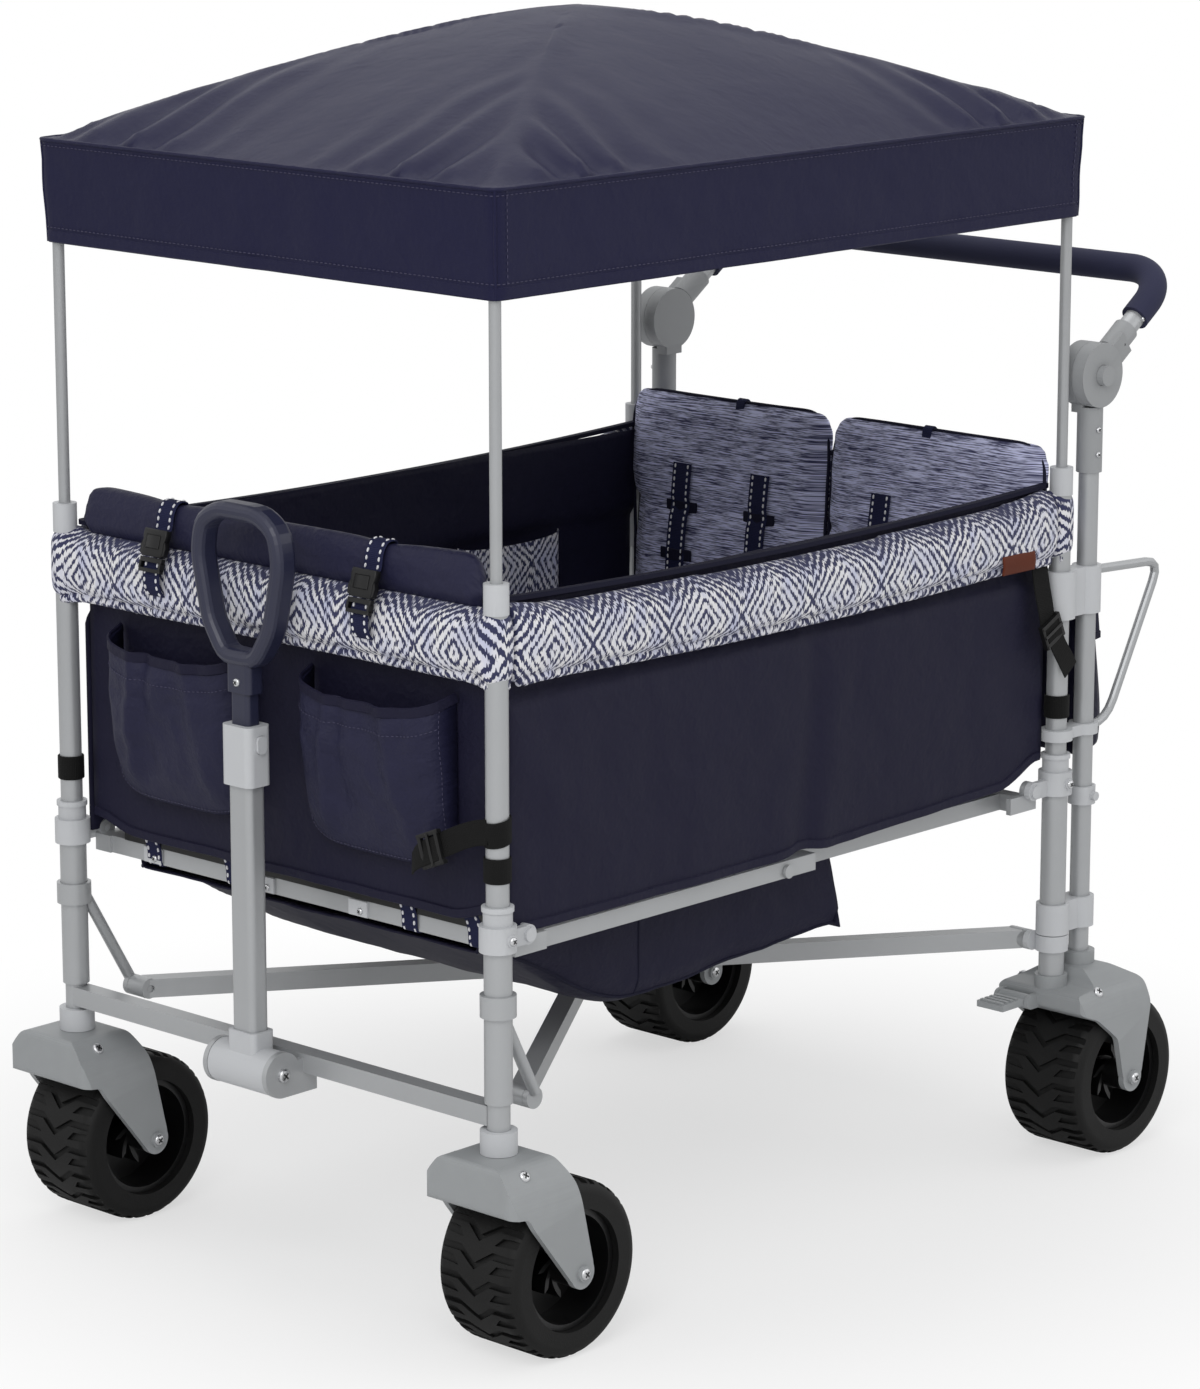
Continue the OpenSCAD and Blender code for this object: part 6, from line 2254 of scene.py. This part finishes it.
@dataclass
class Fasteners:
    """Screws, floor clips and the bare leather tag."""

    nodes: dict[str, Piece]
    clip_y: tuple[float, ...] = (218.0, 48.0, -87.0)
    tag_x: Pair = (315.0, 369.0)
    tag_z: Pair = (675.0, 695.0)

    def build(self) -> None:
        """Makes screws body by body, then the clips and the tag."""
        spots: dict[str, list[tuple[Vector, Vector, float]]] = {}

        def put(body: str, x: float, y: float, z: float, axis: Sequence[float], r: float) -> None:
            """Marks a screw at a place."""
            spots.setdefault(body, []).append((tub(x, y, z), Vector(axis), r))

        def touch(body: str, node: str, start: Sequence[float], way: Sequence[float], r: float) -> None:
            """Marks a screw where a ray meets a node.

            Args:
                body, node: The body and its node.
                start, way: The ray.
                r: Radius in millimetres.
            """
            piece = self.nodes[node]
            back = piece.matrix_world.inverted()
            turn = back.to_3x3()
            hit, spot, normal, _ = piece.ray_cast(back @ tub(*start), (turn @ Vector(way)).normalized())
            if hit:
                facing = (turn.transposed() @ normal).normalized()
                spots.setdefault(body, []).append((piece.matrix_world @ spot, facing, r))

        for side, name in SIDES:
            inward = (0, -side, 0)
            put("front_frame", -POST_X, side * (HALF_W + 20.4), 428, (0, side, 0), 4.6)
            put("rear_frame", POST_X, side * (HALF_W + 20.4), 428, (0, side, 0), 4.6)
            for flank in (-1, 1):
                y = side * HALF_W + flank * 110
                touch(f"caster_{name}", f"caster_fork_{name}", (-POST_X + 53, y, AXLE_Z), (0, -flank, 0), 6.0)
                touch("rear_frame", "rear_forks", (POST_X + 70, y, AXLE_Z), (0, -flank, 0), 6.0)
                touch(f"caster_{name}", f"caster_fork_{name}", (-POST_X - 14, y, 264), (0, -flank, -1), 6.0)
                touch("rear_frame", "rear_forks", (POST_X + 16, y, 254), (0, -flank, -1), 6.0)
            touch("front_frame", "front_crossbar", (PULL_X, side * 120, 243), inward, 7.0)
            for z in (811, 784):
                touch("rear_frame", "hub_sockets", (HANDLE_X - 3, side * (HALF_W + 60), z), inward, 3.2)
            for run in (50.0, 92.0):
                spot = (HANDLE_X + 0.82 * run, side * (HALF_W + 60), 870 + 0.574 * run)
                touch("push_handle", "push_tube", spot, inward, 3.0)
        touch("pull_slider", "pull_grip", (PULL_X - 80, 0, 640), ALONG, 4.2)
        for y in self.clip_y:
            put("floor_front", -405.2, y - 4, 408, (-1, 0, 0), 3.6)
        for body, rows in spots.items():
            heads, shade_sheets = MeshBuffer(), MeshBuffer()
            for place, axis, r in rows:
                self.head(heads, shade_sheets, place, axis, r * MM)
            # The recess sheets take the dark finish: painted shade.
            for buffer, part, finish in ((heads, "screws", ZINC), (shade_sheets, "painted_recess_sheets", RECESS_SHADE)):
                piece = buffer.build(f"{body}_{part}")
                finish.put_on(piece)
                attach(piece, body)
        self.clips()
        self.tag()

    def clips(self) -> None:
        """Plates that hold the cloth on the front floor tube."""
        buffer = MeshBuffer()
        section = [(a * 0.5, b) for a, b in flat_section(0.034, 0.0024)]
        for y in self.clip_y:
            buffer.sweep([tub(-404.2, y + 13 * k, 410.5) for k in (-1, -0.92, 0.92, 1)], UP, section)
        plates = buffer.build("floor_clip_plates")
        GREY.put_on(plates)
        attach(plates, "floor_front")

    @staticmethod
    def head(heads: MeshBuffer, shade_sheets: MeshBuffer, place: Vector, axis: Vector, r: float) -> None:
        """Pan head with a cross recess, drawn as thin dark sheets of painted shade.

        Args:
            heads, holes: Pieces for heads and recesses.
            place, axis, r: Where it sits, which way, and its radius.
        """
        pan = [(0, -0.002), (r, -0.002), (r, 0.0006), (0.92 * r, 0.0016), (0.7 * r, 0.0024), (0, 0.0028)]
        heads.lathe(place, axis, pan, 24)
        x = axis.orthogonal().normalized()
        y = axis.cross(x)
        # The cross recess: thin dark sheets laid on the head, painted shade where the hollow would be.
        for a, b in ((x, y), (y, x)):
            line = [place + axis * 0.00285 + a * r * k for k in (-0.55, -0.2, 0.2, 0.55)]
            shade_sheets.sweep(line, b, flat_section(0.28 * r, 0.0005))

    def tag(self) -> None:
        """Bare leather tag sewn to the left rail."""
        (x0, x1), (z0, z1) = self.tag_x, self.tag_z

        def face(u: float, v: float) -> Vector:
            """Point of the tag."""
            y = HALF_W + 15.8 + 1.6 * math.sin(math.pi * v)
            return tub(x0 + (x1 - x0) * u, -y, z0 + (z1 - z0) * v)

        size = ((x1 - x0) * MM, (z1 - z0) * MM)
        patch = MeshBuffer().grid(20, 10, face, size).build("rail_leather_tag")
        thicken(patch, HEAVY_CLOTH, 0.0)
        settle(patch, LEATHER, Body.REAR)
        fold_away(patch)


@dataclass
class FrameDress:
    """Finishes of the CAD nodes that stay in view."""

    nodes: dict[str, Piece]
    sharp: float = 32.0

    def build(self) -> None:
        """Gives each CAD node its finish."""
        plan = {
            STEEL: (
                "rear_posts", "handle_posts", "rear_loops", "rear_canopy_poles", "front_posts",
                "front_crossbar", "front_braces", "front_canopy_poles", "floor_frame_front",
                "floor_frame_rear",
                "cross_frame_rear", "cross_frame_front", "pull_tube", "push_tube",
            ),
            GREY: (
                "rear_brackets", "rear_canopy_sockets", "front_fittings", "front_canopy_sockets",
                "pull_fittings", "pull_button_left", "pull_button_right",
            ),
            HUB: ("hub_sockets", "push_knuckles", "hub_button_left", "hub_button_right"),
            FORK: (
                "rear_forks", "caster_fork_left", "caster_fork_right",
                "brake_pedal_left", "brake_pedal_right",
            ),
            BLACK: ("floor_board_front", "floor_board_rear"),
            GRIP: ("pull_grip",),
            FOAM: ("push_foam",),
            RUBBER: ("caster_tyre_left", "caster_tyre_right", "rear_tyre_left", "rear_tyre_right"),
            RIM: ("caster_rim_left", "caster_rim_right", "rear_rim_left", "rear_rim_right"),
        }
        for finish, names in plan.items():
            finish.put_on(*(self.nodes[name] for name in names))
            for name in names:
                mesh = self.nodes[name].data
                mesh.polygons.foreach_set("use_smooth", [True] * len(mesh.polygons))
                mesh.set_sharp_from_angle(angle=math.radians(self.sharp))
        LOG.info("dressed %d CAD nodes", sum(len(names) for names in plan.values()))


@dataclass
class Studio:
    """Floor, lamps, world and camera."""

    eye: Triple = (-3.7232, -3.4534, 1.6792)
    forward: Triple = (0.71275, 0.66622, -0.21943)
    lens: float = 125.92
    floor_half: float = 60.0
    fade: Pair = (0.4, 1.15)
    lamps: tuple[tuple[str, Triple, float, float], ...] = (
        ("key", (-2.9, -2.0, 3.0), 2.2, 58.0),
        ("fill", (2.6, -2.8, 2.2), 2.4, 12.0),
        ("top", (0.2, 0.3, 3.6), 2.4, 26.0),
    )

    def build(self) -> None:
        """Makes the studio."""
        self.camera()
        self.world()
        self.floor()
        for lamp in self.lamps:
            self.lamp(*lamp)
        bpy.context.scene.view_settings.view_transform = "Standard"

    def camera(self) -> None:
        """Places the camera at the photograph's angle."""
        data = bpy.data.cameras.new("camera")
        data.lens, data.sensor_width = self.lens, 36.0
        data.clip_end = 200.0
        cam = bpy.data.objects.new("camera", data)
        cam.location = self.eye
        cam.rotation_mode = "QUATERNION"
        cam.rotation_quaternion = Vector(self.forward).to_track_quat("-Z", "Y")
        bpy.context.scene.collection.objects.link(cam)
        bpy.context.scene.camera = cam

    def world(self) -> None:
        """Even studio surround, white where it is seen."""
        world = bpy.data.worlds.new("studio")
        bpy.context.scene.world = world
        world.use_nodes = True
        g = Graph(world.node_tree)
        shell = world.node_tree.nodes["Background"]
        shell.inputs["Color"].default_value = (1, 1, 1, 1)
        path = g.node("ShaderNodeLightPath")
        seen = g.math("MAXIMUM", path.outputs["Is Camera Ray"], path.outputs["Is Glossy Ray"])
        seen = g.math("MAXIMUM", seen, path.outputs["Is Transmission Ray"])
        g.put(shell.inputs["Strength"], g.math("MULTIPLY_ADD", seen, 0.45, 0.55))

    def floor(self) -> None:
        """Pale floor that turns white away from the object."""
        mesh, r = bpy.data.meshes.new("floor"), self.floor_half
        mesh.from_pydata([(-r, -r, 0), (r, -r, 0), (r, r, 0), (-r, r, 0)], [], [(0, 1, 2, 3)])
        floor = bpy.data.objects.new("floor", mesh)
        bpy.context.scene.collection.objects.link(floor)
        made = bpy.data.materials.new("studio_floor")
        made.use_nodes = True
        g = Graph(made.node_tree)
        made.node_tree.nodes.clear()
        diffuse = g.node("ShaderNodeBsdfDiffuse")
        diffuse.inputs["Color"].default_value = (0.9, 0.9, 0.9, 1)
        white = g.node("ShaderNodeEmission")
        white.inputs["Strength"].default_value = 1.0
        gap = g.node("ShaderNodeVectorMath", operation="LENGTH")
        g.put(gap.inputs[0], g.place())
        path = g.node("ShaderNodeLightPath")
        far = g.math("MULTIPLY_ADD", g.step(gap.outputs["Value"], *self.fade), 0.42, 0.58)
        share = g.math("MULTIPLY", far, path.outputs["Is Camera Ray"])
        blend = g.node("ShaderNodeMixShader")
        for socket, value in zip(blend.inputs, (share, diffuse.outputs[0], white.outputs[0])):
            g.put(socket, value)
        g.put(g.node("ShaderNodeOutputMaterial").inputs["Surface"], blend.outputs[0])
        mesh.materials.append(made)

    @staticmethod
    def lamp(name: str, place: Triple, size: float, power: float) -> None:
        """Square soft box aimed at the wagon.

        Args:
            name, place: Its name and place.
            size, power: Its width and watts.
        """
        data = bpy.data.lights.new(name, "AREA")
        data.size, data.energy = size, power
        lamp = bpy.data.objects.new(name, data)
        lamp.location = place
        lamp.rotation_mode = "QUATERNION"
        lamp.rotation_quaternion = (Vector((0, 0, 0.6)) - Vector(place)).to_track_quat("-Z", "Y")
        bpy.context.scene.collection.objects.link(lamp)


def main() -> None:
    """Builds the wagon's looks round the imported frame."""
    logging.basicConfig(level=logging.INFO, format="%(name)s: %(message)s")
    for item in list(bpy.data.objects):
        bpy.data.objects.remove(item)
    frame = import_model()
    FrameDress(frame["nodes"]).build()
    for assembly in (
        Studio(), Canopy(), RailPads(), TubWalls(), Seats(), FrontEnd(), Storage(), Straps(),
        Fasteners(frame["nodes"]),
    ):
        assembly.build()


if __name__ == "__main__":
    main()
